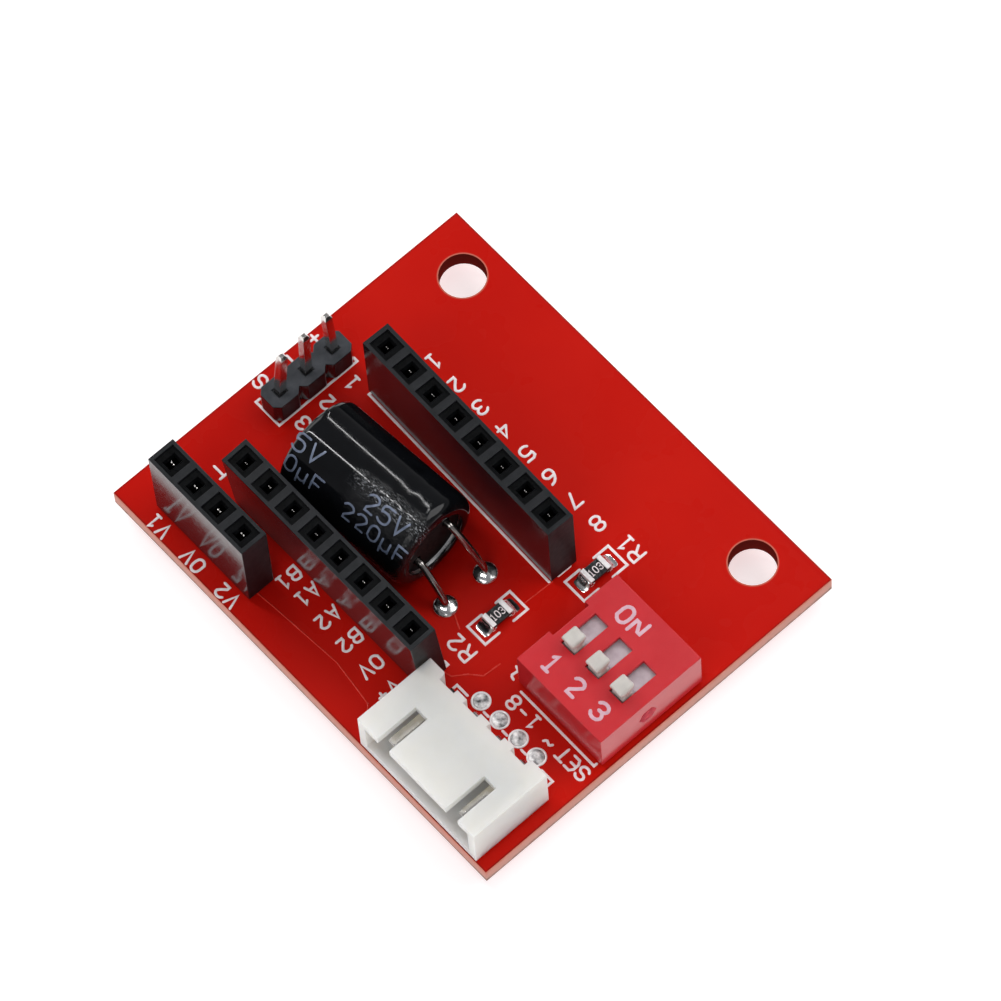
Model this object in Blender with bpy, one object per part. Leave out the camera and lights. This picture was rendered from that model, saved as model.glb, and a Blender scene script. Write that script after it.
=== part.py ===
"""Stepper driver carrier board, modelled as it is built.

A bare circuit board carries three pin sockets, a three-pin control header, a side-entry motor
connector, a three-way DIP switch with sliding levers, an electrolytic capacitor lying on its side
and two chip resistors. The board is centred on the origin with its long edge along X. The lead
tails that stick out below the board end at Z = 0. The motor connector's mouth faces -Y.

Sizes are in millimetres. A mesh or a location is scaled to metres as it is made.
"""

import math

import bmesh
import bpy
from mathutils import Matrix, Vector

MM = 0.001
PITCH = 2.54

# Board
BOARD_LENGTH = 40.5
BOARD_WIDTH = 33.4
BOARD_THICKNESS = 1.6
TAIL_REACH = 1.5
BOARD_TOP = TAIL_REACH + BOARD_THICKNESS
SEAT_GAP = 0.25
MOUNT_HOLE_RADIUS = 1.8
MOUNT_HOLES = ((-16.05, 13.55), (15.4, 13.45))
LEAD_HOLE_RADIUS = 0.55

# Pin sockets
SOCKET_WIDTH = 2.36
SOCKET_HEIGHT = 8.15
SOCKET_END = 1.3
SOCKET_TAIL_REACH = 1.4
WELL_LENGTH = 1.9
WELL_WIDTH = 1.76
WELL_FLOOR = 1.2
THROAT = (0.8, 0.5)
CONTACT_WIDTH = 0.6
DRIVER_ROW_SPACING = 12.7
DRIVER_ROW_X = -3.44
DRIVER_ROW_Y = 3.2
DRIVER_WAYS = 8
RIGHT_ROW_SKEW = math.radians(-1.26)
LEFT_ROW_LEAN = math.radians(4.3)
SUPPLY_ROW = (-12.12, -13.94)
SUPPLY_WAYS = 4

# Control header
HEADER_PLACE = (-17.17, -0.56)
HEADER_WAYS = 3
HEADER_WIDTH = 2.3
HEADER_BASE_HEIGHT = 2.5
HEADER_PIN_HEIGHT = 8.3
HEADER_CORNER = 0.45
PIN_SIDE = 0.64
PIN_CLEARANCE = 0.1
HEADER_PIN_TAPER = 0.35
HEADER_PIN_LEAN = (0.23, 0.05)
HEADER_PIN_CONVERGE = (0.12, 0.3)

# Motor connector
MOTOR_X = 13.05
MOTOR_WAYS = 4
MOTOR_PITCH = 2.5
MOTOR_WIDTH = 12.35
MOTOR_HEIGHT = 4.72
MOTOR_FRONT = -BOARD_WIDTH / 2 + 0.02
MOTOR_DEPTH = 6.93
MOTOR_RIB_DEPTH = 6.68
MOTOR_NOTCH_DEPTH = 6.3
MOTOR_NOTCH_WIDTH = 1.5
MOTOR_CORNER_BLOCK = 1.5
MOTOR_WALL = 0.72
MOTOR_CAVITY_DEPTH = 5.4
MOTOR_SLOT_WIDTH = 1.25
MOTOR_SLOT_DEPTH = 3.65
MOTOR_PIN_HEIGHT = 2.75
MOTOR_PIN_TIP = 0.95
MOTOR_PIN_DROP = 6.76

# DIP switch
DIP_PLACE = (15.4, -0.38)
DIP_WAYS = 3
DIP_LENGTH = 8.9
DIP_WIDTH = 9.65
DIP_HEIGHT = 4.35
DIP_TOP_THICKNESS = 0.4
DIP_WALL = 0.74
DIP_SIDE_RECESS = (0.42, 3.4)
DIP_SLOT = (1.38, 3.3)
DIP_BASE_HEIGHT = 0.9
DIP_ROW_SPACING = 7.62
TERMINAL_SECTION = (0.5, 0.25)
TERMINAL_PAD = 0.15
TERMINAL_REACH = {"a": 3.5, "b": 2.6}
LEVER_NUB = (1.24, 1.3)
LEVER_NUB_RISE = 1.2
LEVER_NUB_HOLLOW = 0.2
LEVER_DROP = 0.1
LEVER_END_LAP = 0.1
BRIDGE_WIDTH = 0.8
LEVER_BODY_HEIGHT = 1.75
LEVER_BODY_WIDTH = 2.0
LEVER_GAP = 0.075
LEVER_TRAVEL = DIP_SLOT[1] - LEVER_NUB[1] - 2 * LEVER_GAP

# Capacitor, lying with its leads towards +X
CAP_RADIUS = 4.0
CAP_LENGTH = 12.0
CAP_CENTRE = (-5.56, -3.96)
CAP_YAW = math.radians(4.6)
CAP_ROLL = math.radians(27.0)
CAP_SLEEVE = 0.16
CAP_PLAY = 0.1
CAP_FRONT_ROUND = 0.85
CAP_BACK_ROUND = 0.45
CAP_BEAD = (2.6, 0.45, 0.14)
CAP_BUNG_RADIUS = 2.8
CAP_BUNG_THICKNESS = 1.5
CAP_BUNG_INSET = 0.3
CAP_LEAD_SPACING = 3.5
CAP_LEAD_RADIUS = 0.28
CAP_LEAD_UPRIGHT = 0.4
CAP_LEAD_PULL = (0.06, 0.2)
CAP_HOLES = ((2.9, -1.2), (2.9, -5.05))
CAP_SEGMENTS = 36

# Chip resistors, lying along Y
RESISTORS = {"resistor_1": (8.35, 4.6), "resistor_2": (6.15, -2.9)}
RESISTOR_WIDTH = 1.25
RESISTOR_LENGTH = 2.0
RESISTOR_HEIGHT = 0.6
RESISTOR_CAP = 0.4
RESISTOR_PLATE = 0.1
RESISTOR_PLAY = 0.06


def clear_scene():
    for item in list(bpy.data.objects):
        bpy.data.objects.remove(item)


def material(name, colour, roughness, metallic=0.0):
    made = bpy.data.materials.new(name)
    made.use_nodes = True
    shader = made.node_tree.nodes["Principled BSDF"]
    shader.inputs["Base Color"].default_value = (*colour, 1.0)
    shader.inputs["Roughness"].default_value = roughness
    shader.inputs["Metallic"].default_value = metallic
    return made


def empty(name, place, rotation=(0.0, 0.0, 0.0), parent=None):
    made = bpy.data.objects.new(name, None)
    bpy.context.scene.collection.objects.link(made)
    made.parent = parent
    made.location = Vector(place) * MM
    made.rotation_euler = rotation
    return made


def solid(name, shape, finish, place=(0.0, 0.0, 0.0), parent=None, sharp=None):
    """An object from a bmesh in millimetres. With sharp, in degrees, it is shaded smooth."""
    bmesh.ops.recalc_face_normals(shape, faces=shape.faces)
    shape.transform(Matrix.Scale(MM, 4))
    mesh = bpy.data.meshes.new(name)
    shape.to_mesh(mesh)
    shape.free()
    if sharp is not None:
        mesh.shade_smooth()
        mesh.set_sharp_from_angle(angle=math.radians(sharp))
    made = bpy.data.objects.new(name, mesh)
    bpy.context.scene.collection.objects.link(made)
    made.parent = parent
    made.location = Vector(place) * MM
    if finish is not None:
        made.data.materials.append(finish)
    return made


def add_box(shape, low, high):
    low, high = Vector(low), Vector(high)
    made = bmesh.ops.create_cube(shape, size=1.0)
    size = Matrix.Diagonal((*(high - low), 1.0))
    bmesh.ops.transform(shape, matrix=Matrix.Translation((low + high) / 2) @ size, verts=made["verts"])


def boxes(pairs):
    shape = bmesh.new()
    for low, high in pairs:
        add_box(shape, low, high)
    return shape


def prism(outline, start, along):
    """A closed outline of 3-D points, moved to start and extruded by the vector along."""
    shape = bmesh.new()
    face = shape.faces.new([shape.verts.new(Vector(point) + Vector(start)) for point in outline])
    swept = bmesh.ops.extrude_face_region(shape, geom=[face])
    moved = [item for item in swept["geom"] if isinstance(item, bmesh.types.BMVert)]
    bmesh.ops.translate(shape, verts=moved, vec=Vector(along))
    return shape


def cylinders(places, radius, low, high, sides):
    shape = bmesh.new()
    for x, y in places:
        made = bmesh.ops.create_cone(
            shape,
            cap_ends=True,
            segments=sides,
            radius1=radius,
            radius2=radius,
            depth=high - low,
        )
        bmesh.ops.translate(shape, verts=made["verts"], vec=(x, y, (low + high) / 2))
    return shape


def turned(profile, closed=False):
    """A (radius, height) profile turned about Z. An open one starts and ends on the axis."""
    shape = bmesh.new()
    rings = []
    for radius, height in profile:
        if radius == 0.0:
            rings.append([shape.verts.new((0.0, 0.0, height))])
            continue
        turns = [2 * math.pi * i / CAP_SEGMENTS for i in range(CAP_SEGMENTS)]
        rings.append([shape.verts.new((radius * math.cos(a), radius * math.sin(a), height)) for a in turns])
    pairs = list(zip(rings, rings[1:]))
    if closed:
        pairs.append((rings[-1], rings[0]))
    for first, second in pairs:
        for i in range(CAP_SEGMENTS):
            j = (i + 1) % CAP_SEGMENTS
            if len(first) == 1:
                shape.faces.new((first[0], second[i], second[j]))
            elif len(second) == 1:
                shape.faces.new((first[i], first[j], second[0]))
            else:
                shape.faces.new((first[i], first[j], second[j], second[i]))
    return shape


def arc(centre, radius, start, end, steps):
    """Points of an arc in a plane, with angles in degrees."""
    turns = [math.radians(start + (end - start) * i / steps) for i in range(steps + 1)]
    return [(centre[0] + radius * math.cos(a), centre[1] + radius * math.sin(a)) for a in turns]


def boolean(target, name, shape, operation="DIFFERENCE"):
    """Cuts the shape from the target, or joins it on. The shape is in the target's own frame."""
    tool = solid(name, shape, None, place=target.location / MM, parent=target.parent)
    tool.hide_render = True
    tool.display_type = "WIRE"
    step = target.modifiers.new(name, "BOOLEAN")
    step.operation = operation
    step.solver = "EXACT"
    step.object = tool


def row(count, pitch):
    return [(i - (count - 1) / 2) * pitch for i in range(count)]


def make_board(finish, lead_holes):
    half_length, half_width = BOARD_LENGTH / 2, BOARD_WIDTH / 2
    low = (-half_length, -half_width, TAIL_REACH)
    board = solid("circuit_board", boxes([(low, (half_length, half_width, BOARD_TOP))]), finish)
    below, above = TAIL_REACH - 1.0, BOARD_TOP + 1.0
    boolean(board, "mounting_hole_cutter", cylinders(MOUNT_HOLES, MOUNT_HOLE_RADIUS, below, above, 32))
    boolean(board, "lead_hole_cutter", cylinders(lead_holes, LEAD_HOLE_RADIUS, below, above, 12))


def contact_outline():
    """A two-leaf spring contact and its tail, seen along the socket."""
    leaf_out, leaf_in, lip_in = 0.62, 0.42, 0.24
    top, neck, floor = SOCKET_HEIGHT - 1.6, SOCKET_HEIGHT - 2.5, WELL_FLOOR + 0.2
    tail, tip = 0.15, -BOARD_THICKNESS - SOCKET_TAIL_REACH
    right = [
        (tail, tip),
        (tail, floor),
        (leaf_out, floor),
        (leaf_out - 0.18, neck),
        (leaf_out, top),
        (leaf_in, top),
        (lip_in, neck),
        (leaf_in, floor + 0.3),
    ]
    left = [(-y, z) for y, z in reversed(right)]
    return [(0.0, y, z) for y, z in right + left]


def make_socket(name, place, ways, plastic, metal, lean=0.0, skew=0.0):
    """A pin socket on its own empty, which holds its lean and its skew on the board."""
    seat = empty(name + "_seat", (*place, BOARD_TOP), (lean, 0.0, skew))
    stations = row(ways, PITCH)
    half = stations[-1] + SOCKET_END
    side = SOCKET_WIDTH / 2
    block = boxes([((-half, -side, SEAT_GAP), (half, side, SOCKET_HEIGHT))])
    housing = solid(name, block, plastic, parent=seat)
    well_x, well_y = WELL_LENGTH / 2, WELL_WIDTH / 2
    wells = [((x - well_x, -well_y, WELL_FLOOR), (x + well_x, well_y, SOCKET_HEIGHT + 1)) for x in stations]
    throat_x, throat_y, throat_top = THROAT[0] / 2, THROAT[1] / 2, WELL_FLOOR + 0.5
    throats = [((x - throat_x, -throat_y, -1.0), (x + throat_x, throat_y, throat_top)) for x in stations]
    boolean(housing, name + "_wells", boxes(wells))
    boolean(housing, name + "_throats", boxes(throats))
    for number, x in enumerate(stations, start=1):
        shape = prism(contact_outline(), (x - CONTACT_WIDTH / 2, 0.0, 0.0), (CONTACT_WIDTH, 0.0, 0.0))
        solid(f"{name}_contact_{number}", shape, metal, parent=seat)


def header_outline():
    """The header base seen from above: one square per pin, with its corners cut off."""
    half_width, half_pitch = HEADER_WIDTH / 2, PITCH / 2
    inner = half_width - HEADER_CORNER
    side = []
    for y in row(HEADER_WAYS, PITCH):
        side += [
            (inner, y - half_pitch),
            (half_width, y - half_pitch + HEADER_CORNER),
            (half_width, y + half_pitch - HEADER_CORNER),
        ]
    side.append((inner, row(HEADER_WAYS, PITCH)[-1] + half_pitch))
    other = [(-x, -y) for x, y in side]
    return [(x, y, 0.0) for x, y in side + other]


def square_pin(sections):
    """A square pin through sections of (z, half side, x, y), lowest first."""
    shape = bmesh.new()
    rings = []
    for z, half, x, y in sections:
        corners = ((-half, -half), (half, -half), (half, half), (-half, half))
        rings.append([shape.verts.new((x + u, y + v, z)) for u, v in corners])
    for first, second in zip(rings, rings[1:]):
        for i in range(4):
            j = (i + 1) % 4
            shape.faces.new((first[i], first[j], second[j], second[i]))
    shape.faces.new(rings[0][::-1])
    shape.faces.new(rings[-1])
    return shape


def make_header(plastic, metal):
    place = (*HEADER_PLACE, BOARD_TOP)
    rise = (0.0, 0.0, HEADER_BASE_HEIGHT - SEAT_GAP)
    base = solid("control_header_base", prism(header_outline(), (0.0, 0.0, SEAT_GAP), rise), plastic, place)
    hole = PIN_SIDE / 2 + PIN_CLEARANCE
    top = HEADER_BASE_HEIGHT + 1.0
    holes = [((-hole, y - hole, -1.0), (hole, y + hole, top)) for y in row(HEADER_WAYS, PITCH)]
    boolean(base, "control_header_pin_holes", boxes(holes))
    half, point, taper = PIN_SIDE / 2, PIN_SIDE / 4, HEADER_PIN_TAPER
    tip, top = -BOARD_THICKNESS - TAIL_REACH, HEADER_PIN_HEIGHT
    for number, y in enumerate(row(HEADER_WAYS, PITCH), start=1):
        pairs = zip(HEADER_PIN_LEAN, HEADER_PIN_CONVERGE)
        lean_x, lean_y = [lean - converge * y / PITCH for lean, converge in pairs]
        sections = [
            (tip, point, 0.0, 0.0),
            (tip + taper, half, 0.0, 0.0),
            (HEADER_BASE_HEIGHT, half, 0.0, 0.0),
            (top - taper, half, lean_x, lean_y),
            (top, point, lean_x, lean_y),
        ]
        pin_place = (HEADER_PLACE[0], HEADER_PLACE[1] + y, BOARD_TOP)
        solid(f"control_header_pin_{number}", square_pin(sections), metal, pin_place)


def motor_outline():
    """The connector seen from above: corner blocks, ribs and a notch behind each pin."""
    half = MOTOR_WIDTH / 2
    block = half - MOTOR_CORNER_BLOCK
    points = [(half, 0.0), (half, MOTOR_DEPTH), (block, MOTOR_DEPTH)]
    for x in reversed(row(MOTOR_WAYS, MOTOR_PITCH)):
        right, left = x + MOTOR_NOTCH_WIDTH / 2, x - MOTOR_NOTCH_WIDTH / 2
        if right < block:
            points.append((right, MOTOR_RIB_DEPTH))
        points += [(min(right, block), MOTOR_NOTCH_DEPTH), (max(left, -block), MOTOR_NOTCH_DEPTH)]
        if left > -block:
            points.append((left, MOTOR_RIB_DEPTH))
    points += [(-block, MOTOR_DEPTH), (-half, MOTOR_DEPTH), (-half, 0.0)]
    return [(x, y, 0.0) for x, y in points]


def motor_pin_outline():
    """A pin seen from the side: straight in the mouth, then bent down behind the rear wall."""
    half, bend, point = PIN_SIDE / 2, 0.5, PIN_SIDE / 4
    low, high = MOTOR_PIN_HEIGHT - half, MOTOR_PIN_HEIGHT + half
    front, back = MOTOR_PIN_DROP - half, MOTOR_PIN_DROP + half
    tip, taper = -BOARD_THICKNESS - TAIL_REACH, 0.3
    corner = arc((back - bend, high - bend), bend, 90, 0, 4)
    points = [
        (MOTOR_PIN_TIP, low + point),
        (MOTOR_PIN_TIP + taper, low),
        (front, low),
        (front, tip + taper),
        (front + point, tip),
        (back - point, tip),
        (back, tip + taper),
        *reversed(corner),
        (MOTOR_PIN_TIP + taper, high),
        (MOTOR_PIN_TIP, high - point),
    ]
    return [(0.0, y, z) for y, z in points]


def make_motor_connector(plastic, metal):
    place = (MOTOR_X, MOTOR_FRONT, BOARD_TOP)
    rise = (0.0, 0.0, MOTOR_HEIGHT - SEAT_GAP)
    shell = solid("motor_connector_shell", prism(motor_outline(), (0.0, 0.0, SEAT_GAP), rise), plastic, place)
    half = MOTOR_WIDTH / 2 - MOTOR_WALL
    floor, roof = SEAT_GAP + MOTOR_WALL, MOTOR_HEIGHT - MOTOR_WALL
    cavity = [((-half, -1.0, floor), (half, MOTOR_CAVITY_DEPTH, roof))]
    boolean(shell, "motor_connector_cavity", boxes(cavity))
    stations = row(MOTOR_WAYS, MOTOR_PITCH)
    slot, slot_low = MOTOR_SLOT_WIDTH / 2, roof - 0.5
    slot_centres = (stations[0] + 0.35, stations[-1] + 0.1)
    slots = [((x - slot, -1.0, slot_low), (x + slot, MOTOR_SLOT_DEPTH, 9.0)) for x in slot_centres]
    boolean(shell, "motor_connector_slots", boxes(slots))
    hole = PIN_SIDE / 2 + PIN_CLEARANCE
    low, high = MOTOR_PIN_HEIGHT - hole, MOTOR_PIN_HEIGHT + hole
    depths = (MOTOR_CAVITY_DEPTH - 0.5, MOTOR_DEPTH + 1.0)
    holes = [((x - hole, depths[0], low), (x + hole, depths[1], high)) for x in stations]
    boolean(shell, "motor_connector_pin_holes", boxes(holes))
    back = [((x - hole, MOTOR_PIN_DROP - 0.5, -1.0), (x + hole, MOTOR_DEPTH + 1, high)) for x in stations]
    boolean(shell, "motor_connector_pin_channels", boxes(back))
    for number, x in enumerate(stations, start=1):
        shape = prism(motor_pin_outline(), (-PIN_SIDE / 2, 0.0, 0.0), (PIN_SIDE, 0.0, 0.0))
        solid(f"motor_connector_pin_{number}", shape, metal, (MOTOR_X + x, MOTOR_FRONT, BOARD_TOP))


def dip_outline():
    """The switch cover seen from above, with a shallow recess in the middle of its -X side."""
    half_x, half_y = DIP_LENGTH / 2, DIP_WIDTH / 2
    depth, half_recess = DIP_SIDE_RECESS[0], DIP_SIDE_RECESS[1] / 2
    points = [
        (-half_x, -half_y),
        (half_x, -half_y),
        (half_x, half_y),
        (-half_x, half_y),
        (-half_x, half_recess),
        (-half_x + depth, half_recess),
        (-half_x + depth, -half_recess),
        (-half_x, -half_recess),
    ]
    return [(x, y, 0.0) for x, y in points]


def terminal_outline(side, reach):
    """A switch terminal seen from the side: a tail and a pad that turns towards the middle."""
    foot, pad_low = TERMINAL_SECTION[1] / 2, SEAT_GAP + DIP_BASE_HEIGHT + PIN_CLEARANCE
    tip, pad_high = -BOARD_THICKNESS - TAIL_REACH, pad_low + TERMINAL_PAD
    tail = [(foot, pad_low), (foot, tip), (-foot, tip), (-foot, pad_high)]
    pad = [(reach, pad_high), (reach, pad_low)]
    return [(0.0, side * y, z) for y, z in tail + pad]


def bridge_outline():
    """A shorting strip seen from the side: an arch with two feet."""
    span, foot, low, high, thick = 1.7, 0.5, 1.52, 1.72, 0.14
    over = [(-span, low), (-span, low + thick), (-span + foot, low + thick), (-span + 2 * foot, high + thick)]
    under = [(-span + 2 * foot + 0.08, high), (-span + foot + 0.08, low)]
    mirrored_over = [(-y, z) for y, z in reversed(over)]
    mirrored_under = [(-y, z) for y, z in under]
    return [(0.0, y, z) for y, z in over + mirrored_over + mirrored_under[::-1] + under]


def make_dip_switch(cover_finish, base_finish, lever_finish, metal):
    centre = (*DIP_PLACE, BOARD_TOP)
    shape = prism(dip_outline(), (0.0, 0.0, SEAT_GAP), (0.0, 0.0, DIP_HEIGHT - SEAT_GAP))
    cover = solid("dip_switch_cover", shape, cover_finish, centre)
    half_x, half_y = DIP_LENGTH / 2 - DIP_WALL, DIP_WIDTH / 2 - DIP_WALL
    cavity_top = DIP_HEIGHT - DIP_TOP_THICKNESS
    boolean(cover, "dip_switch_cavity", boxes([((-half_x, -half_y, -1.0), (half_x, half_y, cavity_top))]))
    slot_x, slot_y = DIP_SLOT[0] / 2, DIP_SLOT[1] / 2
    stations = row(DIP_WAYS, PITCH)
    slots = [((x - slot_x, -slot_y, cavity_top - 0.5), (x + slot_x, slot_y, 9.0)) for x in stations]
    boolean(cover, "dip_switch_slots", boxes(slots))

    edge_x, edge_y = half_x - PIN_CLEARANCE, half_y - PIN_CLEARANCE
    base_top = SEAT_GAP + DIP_BASE_HEIGHT
    plate = boxes([((-edge_x, -edge_y, SEAT_GAP), (edge_x, edge_y, base_top))])
    base = solid("dip_switch_base", plate, base_finish, centre)
    tail_x, tail_y = TERMINAL_SECTION[0] / 2, TERMINAL_SECTION[1] / 2
    holes, hole_x, hole_y = [], tail_x + PIN_CLEARANCE, tail_y + PIN_CLEARANCE
    for x in stations:
        for y in (-DIP_ROW_SPACING / 2, DIP_ROW_SPACING / 2):
            holes.append(((x - hole_x, y - hole_y, -1.0), (x + hole_x, y + hole_y, base_top + 1.0)))
    boolean(base, "dip_switch_terminal_holes", boxes(holes))

    for number, x in enumerate(stations, start=1):
        for letter, side in (("a", 1), ("b", -1)):
            outline = terminal_outline(side, TERMINAL_REACH[letter])
            shape = prism(outline, (-tail_x, 0.0, 0.0), (2 * tail_x, 0.0, 0.0))
            place = (DIP_PLACE[0] + x, DIP_PLACE[1] - side * DIP_ROW_SPACING / 2, BOARD_TOP)
            solid(f"dip_switch_terminal_{number}{letter}", shape, metal, place)
        make_lever(number, x, cavity_top, lever_finish, metal)


def nub_outline(low):
    """A lever's finger nub seen from the side, with a hollow across each of its two faces."""
    half, high = LEVER_NUB[1] / 2, DIP_HEIGHT + LEVER_NUB_RISE
    middle, steps = (DIP_HEIGHT + high) / 2, 6
    face = [(half, low)]
    for i in range(steps + 1):
        along = 2 * i / steps - 1
        z = middle + along * LEVER_NUB_RISE / 2
        face.append((half - LEVER_NUB_HOLLOW * (1 - along**2), z))
    return [(0.0, y, z) for y, z in face] + [(0.0, -y, z) for y, z in reversed(face)]


def make_lever(number, x, cavity_top, finish, metal):
    """A lever at its -Y end, with its origin in its nub. It slides along +Y by LEVER_TRAVEL."""
    nub_y = -DIP_SLOT[1] / 2 + LEVER_GAP + LEVER_NUB[1] / 2
    place = (DIP_PLACE[0] + x, DIP_PLACE[1] + nub_y, BOARD_TOP)
    top = cavity_top - LEVER_DROP
    slot_end = DIP_SLOT[1] / 2 + LEVER_END_LAP
    back, front = -slot_end - LEVER_TRAVEL - nub_y, slot_end - nub_y
    half = LEVER_BODY_WIDTH / 2
    block = boxes([((-half, back, top - LEVER_BODY_HEIGHT), (half, front, top))])
    lever = solid(f"dip_switch_lever_{number}", block, finish, place)
    nub = prism(nub_outline(top - 0.4), (-LEVER_NUB[0] / 2, 0.0, 0.0), (LEVER_NUB[0], 0.0, 0.0))
    boolean(lever, f"dip_switch_nub_{number}", nub, "UNION")
    shape = prism(bridge_outline(), (-BRIDGE_WIDTH / 2, 0.0, 0.0), (BRIDGE_WIDTH, 0.0, 0.0))
    solid(f"dip_switch_bridge_{number}", shape, metal, place)


def sleeve_profile():
    """The sleeve's section: a tube whose two ends turn in over the can."""
    outer, inner = CAP_RADIUS, CAP_RADIUS - CAP_SLEEVE
    end, bead_at, bead_half, bead_depth = CAP_LENGTH, *CAP_BEAD
    bead = [(end - bead_at - bead_half, 0.0), (end - bead_at, bead_depth), (end - bead_at + bead_half, 0.0)]
    back_turn = arc((outer - CAP_BACK_ROUND, CAP_BACK_ROUND), CAP_BACK_ROUND, -90, 0, 3)
    front_turn = arc((outer - CAP_FRONT_ROUND, end - CAP_FRONT_ROUND), CAP_FRONT_ROUND, 0, 90, 4)
    outside = [*back_turn, *[(outer - dip, h) for h, dip in bead], *front_turn]
    back_inner = arc((outer - CAP_BACK_ROUND, CAP_BACK_ROUND), CAP_BACK_ROUND - CAP_SLEEVE, -90, 0, 3)
    front_inner = arc(
        (outer - CAP_FRONT_ROUND, end - CAP_FRONT_ROUND), CAP_FRONT_ROUND - CAP_SLEEVE, 0, 90, 4
    )
    inside = [*back_inner, *[(inner - dip, h) for h, dip in bead], *front_inner]
    return outside + inside[::-1]


def can_profile():
    """The can's section: closed at the back, beaded, and open in front for the bung."""
    outer = CAP_RADIUS - CAP_SLEEVE - CAP_PLAY
    back, end = CAP_SLEEVE + CAP_PLAY, CAP_LENGTH - CAP_SLEEVE - CAP_PLAY
    bead_at, bead_half, bead_depth = CAP_BEAD
    bore = CAP_BUNG_RADIUS + CAP_PLAY
    floor = end - CAP_BUNG_INSET - CAP_BUNG_THICKNESS - 0.4
    turn = CAP_FRONT_ROUND - CAP_SLEEVE - CAP_PLAY
    round_in = outer - turn
    return [
        (0.0, back),
        (outer - 0.2, back),
        (outer, back + 0.2),
        (outer, CAP_LENGTH - bead_at - bead_half),
        (outer - bead_depth, CAP_LENGTH - bead_at),
        (outer, CAP_LENGTH - bead_at + bead_half),
        *arc((round_in, end - turn), turn, 0, 90, 3),
        (bore, end),
        (bore, floor),
        (0.0, floor),
    ]


def lead_curve(name, finish, local_y, hole, frame):
    """A round lead: out of the bung, over in a smooth bend, and down through its hole."""
    start = frame @ Vector((0.0, local_y, CAP_LENGTH - CAP_BUNG_INSET - CAP_BUNG_THICKNESS))
    exit_point = frame @ Vector((0.0, local_y, CAP_LENGTH - 0.1))
    heading = (exit_point - start).normalized()
    down = Vector((hole[0], hole[1], BOARD_TOP + CAP_LEAD_UPRIGHT))
    reach = (down - exit_point).length
    pull_out = exit_point + heading * reach * CAP_LEAD_PULL[0]
    pull_down = down + Vector((0.0, 0.0, reach * CAP_LEAD_PULL[1]))
    points, steps = [start], 12
    for i in range(steps + 1):
        t = i / steps
        weights = ((1 - t) ** 3, 3 * t * (1 - t) ** 2, 3 * t * t * (1 - t), t**3)
        corners = (exit_point, pull_out, pull_down, down)
        points.append(sum((w * c for w, c in zip(weights, corners)), Vector()))
    points.append(Vector((hole[0], hole[1], 0.0)))
    curve = bpy.data.curves.new(name, "CURVE")
    curve.dimensions = "3D"
    curve.bevel_depth = CAP_LEAD_RADIUS * MM
    curve.bevel_resolution = 2
    curve.use_fill_caps = True
    spline = curve.splines.new("POLY")
    spline.points.add(len(points) - 1)
    for target, point in zip(spline.points, points):
        target.co = (*(point * MM), 1.0)
    lead = bpy.data.objects.new(name, curve)
    bpy.context.scene.collection.objects.link(lead)
    lead.data.materials.append(finish)


def make_capacitor(sleeve_finish, can_finish, rubber, metal):
    """Local Z runs along the capacitor from its closed end to its leads."""
    lie = Matrix.Rotation(CAP_YAW, 4, "Z") @ Matrix.Rotation(math.pi / 2, 4, "Y")
    turn = lie @ Matrix.Rotation(CAP_ROLL, 4, "Z")
    axis = turn.to_3x3() @ Vector((0.0, 0.0, 1.0))
    centre = Vector((*CAP_CENTRE, BOARD_TOP + SEAT_GAP + CAP_RADIUS))
    back = centre - axis * CAP_LENGTH / 2
    frame = Matrix.Translation(back) @ turn
    seat = empty("capacitor_seat", back, turn.to_euler())
    solid("capacitor_sleeve", turned(sleeve_profile(), closed=True), sleeve_finish, parent=seat, sharp=40)
    solid("capacitor_can", turned(can_profile()), can_finish, parent=seat, sharp=40)
    top = CAP_LENGTH - CAP_BUNG_INSET - CAP_SLEEVE
    disc = cylinders([(0.0, 0.0)], CAP_BUNG_RADIUS, top - CAP_BUNG_THICKNESS, top, CAP_SEGMENTS)
    bung = solid("capacitor_bung", disc, rubber, parent=seat)
    offsets = (CAP_LEAD_SPACING / 2, -CAP_LEAD_SPACING / 2)
    low, high = top - CAP_BUNG_THICKNESS - 1.0, top + 1.0
    lead_bore = CAP_LEAD_RADIUS + PIN_CLEARANCE
    boolean(bung, "capacitor_lead_bores", cylinders([(0.0, y) for y in offsets], lead_bore, low, high, 12))
    for number, (y, hole) in enumerate(zip(offsets, CAP_HOLES), start=1):
        lead_curve(f"capacitor_lead_{number}", metal, y, hole, frame)


def end_cap_outline(side):
    """A resistor's end cap seen from the side: a C that wraps round the end of the body."""
    outer, inner = RESISTOR_LENGTH / 2, RESISTOR_LENGTH / 2 - RESISTOR_PLATE
    lip = RESISTOR_LENGTH / 2 - RESISTOR_CAP
    low, high = SEAT_GAP, SEAT_GAP + RESISTOR_HEIGHT
    plate = RESISTOR_PLATE
    points = [(lip, low), (outer, low), (outer, high), (lip, high)]
    points += [(lip, high - plate), (inner, high - plate), (inner, low + plate), (lip, low + plate)]
    return [(0.0, side * y, z) for y, z in points]


def make_resistor(name, place, ceramic, metal):
    seat = (*place, BOARD_TOP)
    half_x = RESISTOR_WIDTH / 2
    half_y = RESISTOR_LENGTH / 2 - RESISTOR_PLATE - RESISTOR_PLAY
    low = SEAT_GAP + RESISTOR_PLATE + RESISTOR_PLAY
    high = SEAT_GAP + RESISTOR_HEIGHT - RESISTOR_PLATE - RESISTOR_PLAY
    solid(name + "_body", boxes([((-half_x, -half_y, low), (half_x, half_y, high))]), ceramic, seat)
    for letter, side in (("a", 1), ("b", -1)):
        shape = prism(end_cap_outline(side), (-half_x, 0.0, 0.0), (2 * half_x, 0.0, 0.0))
        solid(f"{name}_end_{letter}", shape, metal, seat)


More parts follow.
